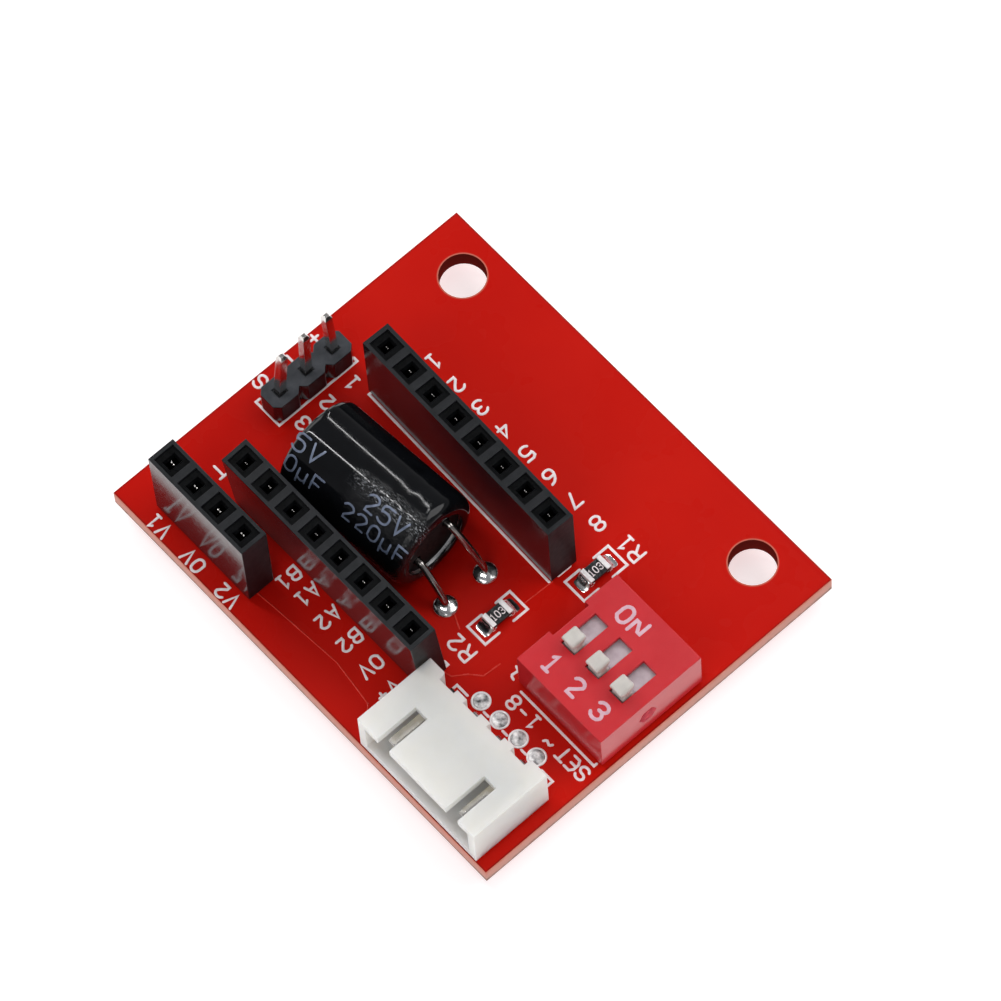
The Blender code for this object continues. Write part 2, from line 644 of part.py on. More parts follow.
def lead_hole_places():
    """Every drilled lead hole in the board, where its lead passes through."""
    places = [(DRIVER_ROW_X + x, DRIVER_ROW_Y) for x in row(DRIVER_WAYS, PITCH)]
    places += [(x, y - DRIVER_ROW_SPACING) for x, y in places]
    places += [(SUPPLY_ROW[0] + x, SUPPLY_ROW[1]) for x in row(SUPPLY_WAYS, PITCH)]
    places += [(HEADER_PLACE[0], HEADER_PLACE[1] + y) for y in row(HEADER_WAYS, PITCH)]
    places += [(MOTOR_X + x, MOTOR_FRONT + MOTOR_PIN_DROP) for x in row(MOTOR_WAYS, MOTOR_PITCH)]
    for x in row(DIP_WAYS, PITCH):
        places += [(DIP_PLACE[0] + x, DIP_PLACE[1] + y) for y in row(2, DIP_ROW_SPACING)]
    return places + list(CAP_HOLES)


def main():
    clear_scene()
    mask = material("red_solder_mask", (0.52, 0.01, 0.008), 0.35)
    black = material("black_header_plastic", (0.03, 0.032, 0.035), 0.35)
    white = material("ivory_connector_plastic", (0.66, 0.66, 0.62), 0.45)
    red = material("red_switch_plastic", (0.55, 0.03, 0.04), 0.4)
    lever_white = material("white_lever_plastic", (0.62, 0.58, 0.54), 0.5)
    tin = material("tinned_metal", (0.6, 0.59, 0.57), 0.25, 1.0)
    aluminium = material("aluminium_can", (0.7, 0.7, 0.7), 0.3, 1.0)
    sleeve = material("black_sleeve", (0.012, 0.013, 0.015), 0.2)
    rubber = material("black_rubber", (0.02, 0.02, 0.02), 0.7)
    ceramic = material("black_resistor_glaze", (0.02, 0.022, 0.024), 0.3)

    make_board(mask, lead_hole_places())
    right = (DRIVER_ROW_X, DRIVER_ROW_Y)
    left = (DRIVER_ROW_X, DRIVER_ROW_Y - DRIVER_ROW_SPACING)
    make_socket("driver_socket_right", right, DRIVER_WAYS, black, tin, skew=RIGHT_ROW_SKEW)
    make_socket("driver_socket_left", left, DRIVER_WAYS, black, tin, lean=LEFT_ROW_LEAN)
    make_socket("supply_socket", SUPPLY_ROW, SUPPLY_WAYS, black, tin)
    make_header(black, tin)
    make_motor_connector(white, tin)
    make_dip_switch(red, black, lever_white, tin)
    make_capacitor(sleeve, aluminium, rubber, tin)
    for name, place in RESISTORS.items():
        make_resistor(name, place, ceramic, tin)


main()
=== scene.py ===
import math

import bmesh
import bpy
from mathutils import Matrix, Vector


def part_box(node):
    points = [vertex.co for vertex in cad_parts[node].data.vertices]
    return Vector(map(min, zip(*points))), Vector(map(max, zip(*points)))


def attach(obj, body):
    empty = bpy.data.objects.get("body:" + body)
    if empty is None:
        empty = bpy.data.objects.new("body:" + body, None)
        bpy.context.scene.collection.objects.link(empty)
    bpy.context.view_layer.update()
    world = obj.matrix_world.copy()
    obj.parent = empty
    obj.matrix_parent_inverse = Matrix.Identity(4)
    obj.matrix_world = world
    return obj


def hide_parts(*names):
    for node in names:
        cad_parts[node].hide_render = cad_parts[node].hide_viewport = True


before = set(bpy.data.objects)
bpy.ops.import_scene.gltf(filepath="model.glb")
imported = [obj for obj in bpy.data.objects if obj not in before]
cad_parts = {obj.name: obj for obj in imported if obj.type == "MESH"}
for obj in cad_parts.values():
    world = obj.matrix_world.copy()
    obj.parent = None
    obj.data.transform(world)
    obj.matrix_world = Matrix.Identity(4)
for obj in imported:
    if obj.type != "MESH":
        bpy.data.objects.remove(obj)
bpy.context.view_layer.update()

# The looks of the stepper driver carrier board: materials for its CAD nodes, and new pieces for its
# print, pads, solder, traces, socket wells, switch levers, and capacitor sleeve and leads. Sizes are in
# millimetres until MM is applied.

MM = 0.001
BODY = "board"


def box_mm(node):
    low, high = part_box(node)
    return low / MM, high / MM


BOARD_LOW, BOARD_HIGH = box_mm("circuit_board")
TOP, BOTTOM = BOARD_HIGH.z, BOARD_LOW.z
HOLES = ((-16.05, 13.55), (15.4, 13.45))
HOLE_RADIUS = 1.8

# Each socket's number of ways, and the width of its contacts' tips.
SOCKETS = {"driver_socket_right": (8, 0.6), "driver_socket_left": (8, 0.6), "supply_socket": (4, 0.9)}


# ---------------------------------------------------------------- capacitor sizes

CAP_RADIUS = 4.0
CAP_LENGTH = 12.0
CAP_YAW = math.radians(4.6)
CAP_ROLL = math.radians(27.0)
CAP_SLEEVE = 0.16
CAP_FRONT_ROUND = 0.85
CAP_BACK_ROUND = 0.45
CAP_BEAD_FROM_END = 2.6
CAP_BEAD_HALF = 0.7
CAP_BEAD_DEPTH = 0.012
CAP_CENTRE = Vector((-5.56, -3.96, TOP + 4.25))
SLEEVE_MOUTH = ((2.86, 0.01), (2.74, 0.06), (2.72, 0.12))
LEAD_RADIUS = 0.28
LEAD_FROM_AXIS = 1.75

# The sleeve is creased on its -Y side, and beside a line along it carries pale scuffs that are painted
# highlight glints. Each Y is at its middle.
CREASES_Y = (-4.45, -3.9)
SCUFF_GLINTS_Y = -5.05

# A text, its height, its middle along and round the sleeve, its turn, and its squeeze. The print
# repeats along the sleeve, and the closed end cuts its first run short.
CAP_PRINT = (
    ("25V", 1.3, (3.0, -1.9), 0, 1.08),
    ("220uF", 1.25, (2.95, -3.6), 0, 1.05),
    ("5V", 1.3, (-4.75, -1.85), 0, 1.12),
    ("0uF", 1.25, (-4.0, -3.6), 0, 1.05),
)


# ---------------------------------------------------------------- camera, floor and light

CAMERA_AIM = (0.073, 2.909, 5.0)
CAMERA_DISTANCE = 549.61
CAMERA_AZIMUTH = 52.957
CAMERA_ELEVATION = 64.988
CAMERA_ROLL = -5.374
CAMERA_LENS = 274.41
FLOOR_GLOW = 0.62
LIGHT_AIM = (0.0, 0.0, 5.0)

# A name, the direction it comes from, its distance, its level and upright sizes, and its power.
LAMPS = (
    ("key_softbox", (0.3, 0.6, 0.74), 450, (340, 340), 0.95),
    ("fill_softbox", (0.3, -0.7, 0.7), 450, (300, 300), 0.62),
    ("side_softbox", (-0.8, 0.15, 0.6), 450, (300, 300), 0.75),
    ("overhead_panel", (-0.34, 0.24, 0.9), 430, (300, 250), 0.01),
    ("far_tube", (-0.374, 0.541, 0.753), 420, (300, 4), 0.12),
    ("near_tube", (-0.322, -0.12, 0.938), 420, (300, 9), 0.34),
)


def make_camera():
    """At azimuth 0 the camera looks along +Y. The azimuth turns it about Z, the roll about its view."""
    camera = bpy.data.objects.new("camera", bpy.data.cameras.new("camera"))
    bpy.context.scene.collection.objects.link(camera)
    aim = Matrix.Translation(Vector(CAMERA_AIM) * MM)
    azimuth = Matrix.Rotation(math.radians(CAMERA_AZIMUTH), 4, "Z")
    tilt = Matrix.Rotation(math.radians(90.0 - CAMERA_ELEVATION), 4, "X")
    roll = Matrix.Rotation(math.radians(CAMERA_ROLL), 4, "Z")
    back = Matrix.Translation((0.0, 0.0, CAMERA_DISTANCE * MM))
    camera.matrix_world = aim @ azimuth @ tilt @ roll @ back
    camera.data.sensor_width = 36.0
    camera.data.lens = CAMERA_LENS
    camera.data.clip_start, camera.data.clip_end = 0.01, 10.0
    bpy.context.scene.camera = camera


def area_light(name, direction, distance, size, power):
    """A rectangular lamp that faces the board. Its longer side, the first of size, is level."""
    lamp = bpy.data.lights.new(name, "AREA")
    lamp.shape = "RECTANGLE"
    lamp.size, lamp.size_y = size[0] * MM, size[1] * MM
    lamp.energy = power
    made = bpy.data.objects.new(name, lamp)
    bpy.context.scene.collection.objects.link(made)
    away = Vector(direction).normalized()
    made.location = (Vector(LIGHT_AIM) + away * distance) * MM
    made.rotation_mode = "QUATERNION"
    made.rotation_quaternion = away.to_track_quat("Z", "X")


def make_light():
    """A dim room, a high key light from +X +Y, a fill and a side light, and a dim softbox overhead
    with a bright tube along each side, which draw the two lines along the capacitor."""
    world = bpy.data.worlds.new("studio")
    bpy.context.scene.world = world
    world.use_nodes = True
    tree = world.node_tree
    sky = tree.nodes["Background"]
    place = node(tree, "ShaderNodeTexCoord").outputs["Generated"]
    height = separate(tree, place)["Z"]
    steps = ((0.0, (0.9, 0.9, 0.92)), (0.3, (0.5, 0.5, 0.52)), (1.0, (0.4, 0.4, 0.42)))
    link(tree, ramp(tree, height, steps), sky.inputs["Color"])
    sky.inputs["Strength"].default_value = 0.5
    for lamp in LAMPS:
        area_light(*lamp)


def make_floor():
    mesh = bpy.data.meshes.new("floor")
    shape = bmesh.new()
    bmesh.ops.create_grid(shape, x_segments=1, y_segments=1, size=2.0)
    shape.to_mesh(mesh)
    shape.free()
    floor = bpy.data.objects.new("floor", mesh)
    bpy.context.scene.collection.objects.link(floor)
    floor.location.z = -0.0002
    paper = surface("floor_paper", ((0.55, 0.55, 0.55), (0.57, 0.57, 0.57)), (0.8, 0.9), 0.05)
    shader = paper.node_tree.nodes["Principled BSDF"]
    shader.inputs["Emission Color"].default_value = (1.0, 1.0, 1.0, 1.0)
    shader.inputs["Emission Strength"].default_value = FLOOR_GLOW
    mesh.materials.append(paper)


# ---------------------------------------------------------------- node materials


def link(tree, source, target):
    tree.links.new(source, target)


def node(tree, kind, inputs=None, **settings):
    """A shader node. Each input is a number, a colour or the socket that feeds it."""
    made = tree.nodes.new(kind)
    for key, value in settings.items():
        setattr(made, key, value)
    for key, value in (inputs or {}).items():
        if isinstance(value, bpy.types.NodeSocket):
            link(tree, value, made.inputs[key])
        else:
            made.inputs[key].default_value = value
    return made


def place_mm(tree, stretch=(1.0, 1.0, 1.0)):
    """The object's own coordinates in millimetres."""
    place = node(tree, "ShaderNodeTexCoord").outputs["Object"]
    scale = [s / MM for s in stretch]
    return node(tree, "ShaderNodeMapping", {"Vector": place, "Scale": scale}).outputs["Vector"]


def noise(tree, per_mm, detail=3.0, stretch=(1.0, 1.0, 1.0), roughness=0.55):
    inputs = {"Vector": place_mm(tree, stretch), "Scale": per_mm, "Detail": detail, "Roughness": roughness}
    return node(tree, "ShaderNodeTexNoise", inputs).outputs["Fac"]


def ramp(tree, value, steps):
    made = node(tree, "ShaderNodeValToRGB", {"Fac": value})
    elements = made.color_ramp.elements
    while len(elements) < len(steps):
        elements.new(0.5)
    for element, (at, colour) in zip(elements, steps):
        element.position = at
        element.color = (*colour, 1.0)
    return made.outputs["Color"]


def spread(tree, value, low, high, start=0.3, end=0.7):
    inputs = {"Value": value, "From Min": start, "From Max": end, "To Min": low, "To Max": high}
    return node(tree, "ShaderNodeMapRange", inputs).outputs["Result"]


def mix(tree, share, first, second):
    made = node(tree, "ShaderNodeMix", data_type="RGBA")
    sockets = ((made.inputs[0], share), (made.inputs[6], first), (made.inputs[7], second))
    for target, value in sockets:
        if isinstance(value, bpy.types.NodeSocket):
            link(tree, value, target)
        else:
            target.default_value = value if target == made.inputs[0] else (*value, 1.0)
    return made.outputs[2]


def math_node(tree, operation, first, second=0.0):
    return node(tree, "ShaderNodeMath", {0: first, 1: second}, operation=operation).outputs[0]


def separate(tree, vector):
    return node(tree, "ShaderNodeSeparateXYZ", {"Vector": vector}).outputs


def surface(name, colours, roughness, grain, bump=0.0, bump_grain=None, stretch=(1.0, 1.0, 1.0), **values):
    """A material whose colour, gloss and fine relief vary. Grains are in cycles per millimetre."""
    made = bpy.data.materials.new(name)
    made.use_nodes = True
    tree = made.node_tree
    shader = tree.nodes["Principled BSDF"]
    mottle = noise(tree, grain, stretch=stretch)
    link(tree, ramp(tree, mottle, ((0.3, colours[0]), (0.7, colours[1]))), shader.inputs["Base Color"])
    gloss = noise(tree, grain * 2.3, stretch=stretch)
    link(tree, spread(tree, gloss, *roughness), shader.inputs["Roughness"])
    if bump:
        relief = noise(tree, bump_grain or grain * 4, detail=4.0, stretch=stretch)
        inputs = {"Height": relief, "Strength": 1.0, "Distance": bump * MM}
        link(tree, node(tree, "ShaderNodeBump", inputs).outputs["Normal"], shader.inputs["Normal"])
    for key, value in values.items():
        shader.inputs[key.replace("_", " ").title().replace("Ior", "IOR")].default_value = value
    return made


def board_material():
    """Glossy red mask on both faces, darker at the rim, bare rings at the mounting holes, sawn
    glass-fibre edges, and painted shade: the walls of the mounting holes are painted dark."""
    reds = ((0.465, 0.005, 0.0022), (0.505, 0.0075, 0.003))
    made = surface("red_solder_mask", reds, (0.24, 0.32), 0.08, 0.001, 0.7)
    tree = made.node_tree
    shader = tree.nodes["Principled BSDF"]
    mask = shader.inputs["Base Color"].links[0].from_socket
    gloss = shader.inputs["Roughness"].links[0].from_socket
    x, y, z = separate(tree, place_mm(tree))
    beside = math_node(tree, "SUBTRACT", BOARD_HIGH.x, math_node(tree, "ABSOLUTE", x))
    ahead = math_node(tree, "SUBTRACT", BOARD_HIGH.y, math_node(tree, "ABSOLUTE", y))
    inset = math_node(tree, "MINIMUM", beside, ahead)
    rim = spread(tree, inset, 1.0, 0.0, 0.06, 0.16)
    ragged = math_node(tree, "ADD", z, spread(tree, noise(tree, 2.0), -0.12, 0.12))
    level = spread(tree, ragged, 0.0, 1.0, BOTTOM, TOP)
    layers = (
        (0.1, (0.2, 0.13, 0.11)),
        (0.24, (0.62, 0.3, 0.25)),
        (0.75, (0.66, 0.27, 0.22)),
        (0.9, (0.6, 0.14, 0.07)),
    )
    fibre = noise(tree, 1.6, detail=6.0, stretch=(1.0, 1.0, 5.0))
    worn = ramp(tree, fibre, ((0.3, (0.5, 0.36, 0.3)), (0.7, (0.74, 0.4, 0.34))))
    sawn = mix(tree, 0.35, ramp(tree, level, layers), worn)
    facing = separate(tree, node(tree, "ShaderNodeNewGeometry").outputs["True Normal"])["Z"]
    side = spread(tree, math_node(tree, "ABSOLUTE", facing), 1.0, 0.0, 0.4, 0.6)
    inside = math_node(tree, "GREATER_THAN", inset, 0.5)
    hole_wall_shade = math_node(tree, "MULTIPLY", side, inside)
    face = mix(tree, rim, mask, (0.3, 0.006, 0.004))
    flat = node(tree, "ShaderNodeCombineXYZ", {"X": x, "Y": y}).outputs["Vector"]
    for spot in HOLES:
        ends = {0: flat, 1: (*spot, 0.0)}
        away = node(tree, "ShaderNodeVectorMath", ends, operation="DISTANCE").outputs["Value"]
        bare = spread(tree, away, 1.0, 0.0, HOLE_RADIUS + 0.07, HOLE_RADIUS + 0.13)
        face = mix(tree, bare, face, (0.5, 0.13, 0.09))
    colour = mix(tree, side, face, sawn)
    # Painted shade: the walls of the mounting holes are painted dark red-brown.
    link(tree, mix(tree, hole_wall_shade, colour, (0.13, 0.012, 0.009)), shader.inputs["Base Color"])
    rough = math_node(tree, "MAXIMUM", gloss, math_node(tree, "MULTIPLY", side, 0.8))
    link(tree, rough, shader.inputs["Roughness"])
    link(tree, spread(tree, side, 0.06, 0.0, 0.0, 1.0), shader.inputs["Specular IOR Level"])
    return made


def moulded_black(name, dust_and_sheen):
    """Black plastic: glossy sides, matt cut ends, and duller upward faces that are painted paler, partly
    as dust and partly as a painted sheen of top light; the larger the second argument, the paler.
    """
    made = surface(name, ((0.006, 0.0065, 0.008), (0.01, 0.011, 0.013)), (0.12, 0.2), 0.9, 0.0012, 3.0)
    tree = made.node_tree
    shader = tree.nodes["Principled BSDF"]
    side = shader.inputs["Base Color"].links[0].from_socket
    gloss = shader.inputs["Roughness"].links[0].from_socket
    endways, _, facing = separate(tree, node(tree, "ShaderNodeNewGeometry").outputs["True Normal"])
    upward = spread(tree, facing, 0.0, 1.0, 0.7, 0.95)
    cut = spread(tree, math_node(tree, "ABSOLUTE", endways), 0.0, 1.0, 0.9, 0.99)
    greys = ((0.3, (0.009, 0.01, 0.0115)), (0.7, (0.016, 0.017, 0.0195)))
    greys = tuple((at, tuple(dust_and_sheen * part for part in grey)) for at, grey in greys)
    # Dust and painted sheen: upward faces are painted a paler grey, as if lit from above.
    dusty_sheen = ramp(tree, noise(tree, 1.2, detail=5.0), greys)
    link(tree, mix(tree, upward, side, dusty_sheen), shader.inputs["Base Color"])
    dull_top = math_node(tree, "MULTIPLY", upward, 0.22)
    dull_cut = math_node(tree, "MULTIPLY", cut, 0.3)
    dull = math_node(tree, "MAXIMUM", dull_top, dull_cut)
    link(tree, math_node(tree, "ADD", gloss, dull), shader.inputs["Roughness"])
    top_shine = spread(tree, upward, 0.5, 0.16, 0.0, 1.0)
    cut_shine = spread(tree, cut, 0.5, 0.22, 0.0, 1.0)
    link(tree, math_node(tree, "MINIMUM", top_shine, cut_shine), shader.inputs["Specular IOR Level"])
    return made


def lever_material():
    """Cream plastic, with painted shade on the recessed slides: they are painted darker and more lilac
    than the nubs.
    """
    creams = ((0.5, 0.475, 0.44), (0.56, 0.535, 0.5))
    made = surface("lever_plastic", creams, (0.3, 0.42), 1.5, 0.003, 4.0, subsurface_weight=0.5,
                   subsurface_radius=(0.9, 0.8, 0.7), subsurface_scale=0.0008)
    tree = made.node_tree
    shader = tree.nodes["Principled BSDF"]
    cream = shader.inputs["Base Color"].links[0].from_socket
    height = separate(tree, place_mm(tree))["Z"]
    # Painted shade: the slides, sunk in the cover's slots, are painted darker and lilac.
    recess_shade = spread(tree, height, 1.0, 0.0, 6.85, 7.35)
    shaded_lilac = ramp(tree, noise(tree, 1.6), ((0.3, (0.4, 0.31, 0.36)), (0.7, (0.56, 0.47, 0.52))))
    link(tree, mix(tree, recess_shade, cream, shaded_lilac), shader.inputs["Base Color"])
    return made


def sleeve_material():
    """Glossy shrunk film, creased near the leads, where pale scuffs are painted as painted highlight
    glints beside the near highlight line.
    """
    blacks = ((0.0018, 0.002, 0.0026), (0.0035, 0.004, 0.005))
    made = surface("black_sleeve", blacks, (0.05, 0.09), 0.7, specular_ior_level=0.3)
    tree = made.node_tree
    shader = tree.nodes["Principled BSDF"]
    x, y, _ = separate(tree, place_mm(tree))
    near_leads = spread(tree, x, 0.0, 1.0, -6.6, -3.9)
    along = math_node(tree, "SUBTRACT", x, CAP_CENTRE.x)
    drift = math_node(tree, "MULTIPLY", along, math.tan(CAP_YAW))
    aside = math_node(tree, "SUBTRACT", y, drift)
    creased = spread(tree, aside, 1.0, 0.03, *CREASES_Y)
    from_line = math_node(tree, "ABSOLUTE", math_node(tree, "SUBTRACT", aside, SCUFF_GLINTS_Y))
    scuff_glint_band = spread(tree, from_line, 1.0, 0.0, 0.2, 0.85)
    crinkle = noise(tree, 4.5, detail=5.0, stretch=(0.4, 1.4, 1.0), roughness=0.65)
    creases = spread(tree, crinkle, 0.0, 1.0, 0.47, 0.57)
    depth = math_node(tree, "MULTIPLY", math_node(tree, "MULTIPLY", near_leads, creased), creases)
    swell = noise(tree, 0.9, detail=2.0, stretch=(0.5, 1.0, 1.0))
    waves = math_node(tree, "MULTIPLY", swell, 0.1)
    scratch_glint_noise = noise(tree, 6.0, detail=4.0, stretch=(0.55, 1.8, 1.0), roughness=0.7)
    scratch_glint_streaks = spread(tree, scratch_glint_noise, 0.0, 1.0, 0.55, 0.63)
    scuff_glints = math_node(tree, "MULTIPLY", math_node(tree, "MULTIPLY", near_leads, scuff_glint_band), scratch_glint_streaks)
    film = shader.inputs["Base Color"].links[0].from_socket
    # Painted highlight: pale scuff streaks stand in for scratches glinting in the near tube's light.
    glint_chalk = ramp(tree, noise(tree, 3.0), ((0.3, (0.16, 0.17, 0.18)), (0.7, (0.55, 0.57, 0.6))))
    link(tree, mix(tree, scuff_glints, film, glint_chalk), shader.inputs["Base Color"])
    inputs = {"Height": math_node(tree, "ADD", depth, waves), "Strength": 1.0, "Distance": 0.014 * MM}
    link(tree, node(tree, "ShaderNodeBump", inputs).outputs["Normal"], shader.inputs["Normal"])
    return made


# ---------------------------------------------------------------- pieces


def piece(name, shape, finish, smooth=None, body=BODY):
    """A mesh piece from a bmesh in millimetres."""
    bmesh.ops.recalc_face_normals(shape, faces=shape.faces)
    shape.transform(Matrix.Scale(MM, 4))
    mesh = bpy.data.meshes.new(name)
    shape.to_mesh(mesh)
    shape.free()
    if smooth is not None:
        mesh.shade_smooth()
        mesh.set_sharp_from_angle(angle=math.radians(smooth))
    made = bpy.data.objects.new(name, mesh)
    bpy.context.scene.collection.objects.link(made)
    mesh.materials.append(finish)
    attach(made, body)
    return made


def add_turned(shape, profile, centre, axis=(0.0, 0.0, 1.0), sides=36):
    """Adds a (radius, height) profile turned about an axis. Both of its ends are on the axis."""
    lean = Vector(axis).to_track_quat("Z", "Y").to_matrix()
    rings = []
    for radius, height in profile:
        count = sides if radius > 0.0 else 1
        angles = [2 * math.pi * i / count for i in range(count)]
        points = [Vector((radius * math.cos(a), radius * math.sin(a), height)) for a in angles]
        rings.append([shape.verts.new(Vector(centre) + lean @ p) for p in points])
    for first, second in zip(rings, rings[1:]):
        for i in range(sides):
            a, b = first[i % len(first)], first[(i + 1) % len(first)]
            c, d = second[(i + 1) % len(second)], second[i % len(second)]
            shape.faces.new(list(dict.fromkeys((a, b, c, d))))


def join_rings(shape, rings, closed):
    """Adds the faces between rings of vertices. The run ends in caps, or closes on its first ring."""
    for first, second in zip(rings, rings[1:] + rings[:1] if closed else rings[1:]):
        for i in range(len(first)):
            j = (i + 1) % len(first)
            shape.faces.new((first[i], first[j], second[j], second[i]))
    if not closed:
        shape.faces.new(rings[0][::-1])
        shape.faces.new(rings[-1])


def rectangle(half_x, half_y):
    """The corners of a rectangle about the origin."""
    return (-half_x, -half_y), (half_x, -half_y), (half_x, half_y), (-half_x, half_y)


def places_of(node_name):
    return [v.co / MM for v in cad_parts[node_name].data.vertices]


def ends_of(node_name):
    """The middles of a node's lowest and of its highest tenth of a millimetre."""
    places = places_of(node_name)
    bottom, top = min(p.z for p in places), max(p.z for p in places)
    low = [p for p in places if p.z < bottom + 0.1]
    high = [p for p in places if p.z > top - 0.1]
    return sum(low, Vector()) / len(low), sum(high, Vector()) / len(high)


def tail_spot(node_name):
    """Where a node's lowest end is, in plan."""
    return ends_of(node_name)[0].to_2d()


def centre_of(node_name):
    low, high = box_mm(node_name)
    return (low + high) / 2


def soften(name, finish, width, segments=2):
    """Gives a CAD node rounded edges and its material."""
    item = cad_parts[name]
    custom = item.data.attributes.get("custom_normal")
    if custom:
        item.data.attributes.remove(custom)
    item.data.polygons.foreach_set("use_smooth", [True] * len(item.data.polygons))
    item.data.materials.clear()
    item.data.materials.append(finish)
    weld = item.modifiers.new("weld", "WELD")
    weld.merge_threshold = 1e-6
    flat = item.modifiers.new("flat_faces", "DECIMATE")
    flat.decimate_type = "DISSOLVE"
    flat.angle_limit = math.radians(0.5)
    if width:
        bevel = item.modifiers.new("soft_edges", "BEVEL")
        bevel.width = width * MM
        bevel.segments = segments
        bevel.limit_method = "ANGLE"
        bevel.angle_limit = math.radians(25)
        bevel.use_clamp_overlap = True
        bevel.harden_normals = True
    normals = item.modifiers.new("even_normals", "WEIGHTED_NORMAL")
    normals.keep_sharp = True


# ---------------------------------------------------------------- print as strokes

# Each letter is a list of lines on a grid of 4 by 6.
ROUND = [(0, 1.2), (0, 4.8), (1.2, 6), (2.8, 6), (4, 4.8), (4, 1.2), (2.8, 0), (1.2, 0), (0, 1.2)]
GLYPHS = {
    "0": [ROUND],
    "1": [[(1, 4.8), (2.2, 6), (2.2, 0)], [(1, 0), (3.4, 0)]],
    "2": [[(0, 5), (1, 6), (3, 6), (4, 5), (4, 4), (0, 0), (4, 0)]],
    "3": [[(0, 5), (1, 6), (3, 6), (4, 5), (4, 4), (3, 3.1), (4, 2), (4, 1), (3, 0), (1, 0), (0, 1)],
          [(1.6, 3.1), (3, 3.1)]],
    "4": [[(3, 0), (3, 6), (0, 2)], [(0, 2), (4, 2)]],
    "5": [[(4, 6), (0, 6), (0, 3.4), (1, 3.8), (3, 3.8), (4, 2.8), (4, 1), (3, 0), (1, 0), (0, 0.8)]],
    "6": [[(3.6, 6), (1.6, 5.4), (0, 3), (0, 1), (1, 0), (3, 0), (4, 1), (4, 2.2), (3, 3.2)],
          [(3, 3.2), (0.5, 3.2)]],
    "7": [[(0, 6), (4, 6), (1.4, 0)]],
    "8": [[(1, 3.1), (0, 4), (0, 5), (1, 6), (3, 6), (4, 5), (4, 4), (3, 3.1), (1, 3.1)],
          [(1, 3.1), (0, 2), (0, 1), (1, 0), (3, 0), (4, 1), (4, 2), (3, 3.1), (1, 3.1)]],
    "A": [[(0, 0), (2, 6), (4, 0)], [(0.9, 2), (3.1, 2)]],
    "B": [[(0, 0), (0, 6), (3, 6), (4, 5), (4, 4), (3, 3.1), (4, 2), (4, 1), (3, 0), (0, 0)],
          [(0, 3.1), (3, 3.1)]],
    "E": [[(4, 6), (0, 6), (0, 0), (4, 0)], [(0, 3), (3, 3)]],
    "F": [[(4, 6), (0, 6), (0, 0)], [(0, 3), (3, 3)]],
    "N": [[(0, 0), (0, 6), (4, 0), (4, 6)]],
    "O": [ROUND],
    "R": [[(0, 0), (0, 6)], [(0, 6), (3, 6), (4, 5), (4, 3.9), (3, 2.9), (0, 2.9)], [(2.2, 2.9), (4, 0)]],
    "S": [[(4, 5), (3, 6), (1, 6), (0, 5), (0, 4), (1, 3.1), (3, 3.1), (4, 2), (4, 1), (3, 0), (1, 0),
           (0, 1)]],
    "T": [[(0, 6), (4, 6)], [(2, 6), (2, 0)]],
    "V": [[(0, 6), (2, 0), (4, 6)]],
    "u": [[(0, -1.6), (0, 4)], [(0, 1), (1, 0), (2.4, 0), (3.4, 1)], [(3.4, 4), (3.4, 0)]],
    "+": [[(0.4, 3), (3.6, 3)], [(2, 1.4), (2, 4.6)]],
    "-": [[(0.6, 3), (3.4, 3)]],
    "~": [[(0, 2.4), (0.9, 3.6), (2, 3), (3.1, 2.4), (4, 3.6)]],
}
GLYPH_HEIGHT, GLYPH_WIDTH = 6.0, 4.0

# A stroke's section, in half widths across and rises up: upright sides and a chamfered top.
STROKE_SECTION = ((-1.0, -0.6), (-1.0, 0.5), (-0.7, 1.0), (0.7, 1.0), (1.0, 0.5), (1.0, -0.6))


def eased(line):
    """The line with its corners cut, so that chamfered letters look round."""
    if len(line) < 4:
        return line
    out = [line[0]]
    for a, b in zip(line, line[1:]):
        out += [tuple(a[k] + (b[k] - a[k]) * share for k in (0, 1)) for share in (0.28, 0.72)]
    return out + [line[-1]]


def lettering(text, height, centre, turn=0.0, squeeze=1.0, gap=1.9):
    """Polylines of one line of text, centred on a point and turned by an angle in degrees."""
    unit = height / GLYPH_HEIGHT
    step = (GLYPH_WIDTH + gap) * unit * squeeze
    start = -(step * len(text) - gap * unit * squeeze) / 2
    spin = Matrix.Rotation(math.radians(turn), 2)
    lines = []
    for i, letter in enumerate(text):
        for line in GLYPHS[letter]:
            flat = [(start + i * step + x * unit * squeeze, y * unit - height / 2) for x, y in eased(line)]
            lines.append([tuple(Vector(centre) + spin @ Vector(p)) for p in flat])
    return lines


def fine(line, longest):
    """The line with points added, so that it can follow a curved surface."""
    out = [line[0]]
    for a, b in zip(line, line[1:]):
        a, b = Vector(a), Vector(b)
        count = max(1, math.ceil((b - a).length / longest))
        out += [tuple(a + (b - a) * i / count) for i in range(1, count + 1)]
    return out


def add_ribbon(shape, line, width, rise, lay):
    """Adds a raised stroke of ink. lay turns (across, along, height) into a point in space."""
    half = width / 2
    points = [Vector(p) for p in line]
    heads = [(b - a).normalized() for a, b in zip(points, points[1:])]
    closed = (points[0] - points[-1]).length < 1e-6
    if closed:
        points.pop()
    sections = []
    for i, point in enumerate(points):
        before = heads[i - 1] if i or closed else heads[0]
        after = heads[min(i, len(heads) - 1)]
        along = (before + after).normalized() if (before + after).length > 0.2 else after
        sections.append((point, along, half / max(abs(along.dot(after)), 0.6)))
    if not closed:
        sections.insert(0, (points[0] - heads[0] * half * 0.9, heads[0], half * 0.5))
        sections.append((points[-1] + heads[-1] * half * 0.9, heads[-1], half * 0.5))
    rings = []
    for point, along, reach in sections:
        aside = Vector((-along.y, along.x))
        spots = [(*(point + aside * reach * across), rise * up) for across, up in STROKE_SECTION]
        rings.append([shape.verts.new(lay(spot)) for spot in spots])
    join_rings(shape, rings, closed)


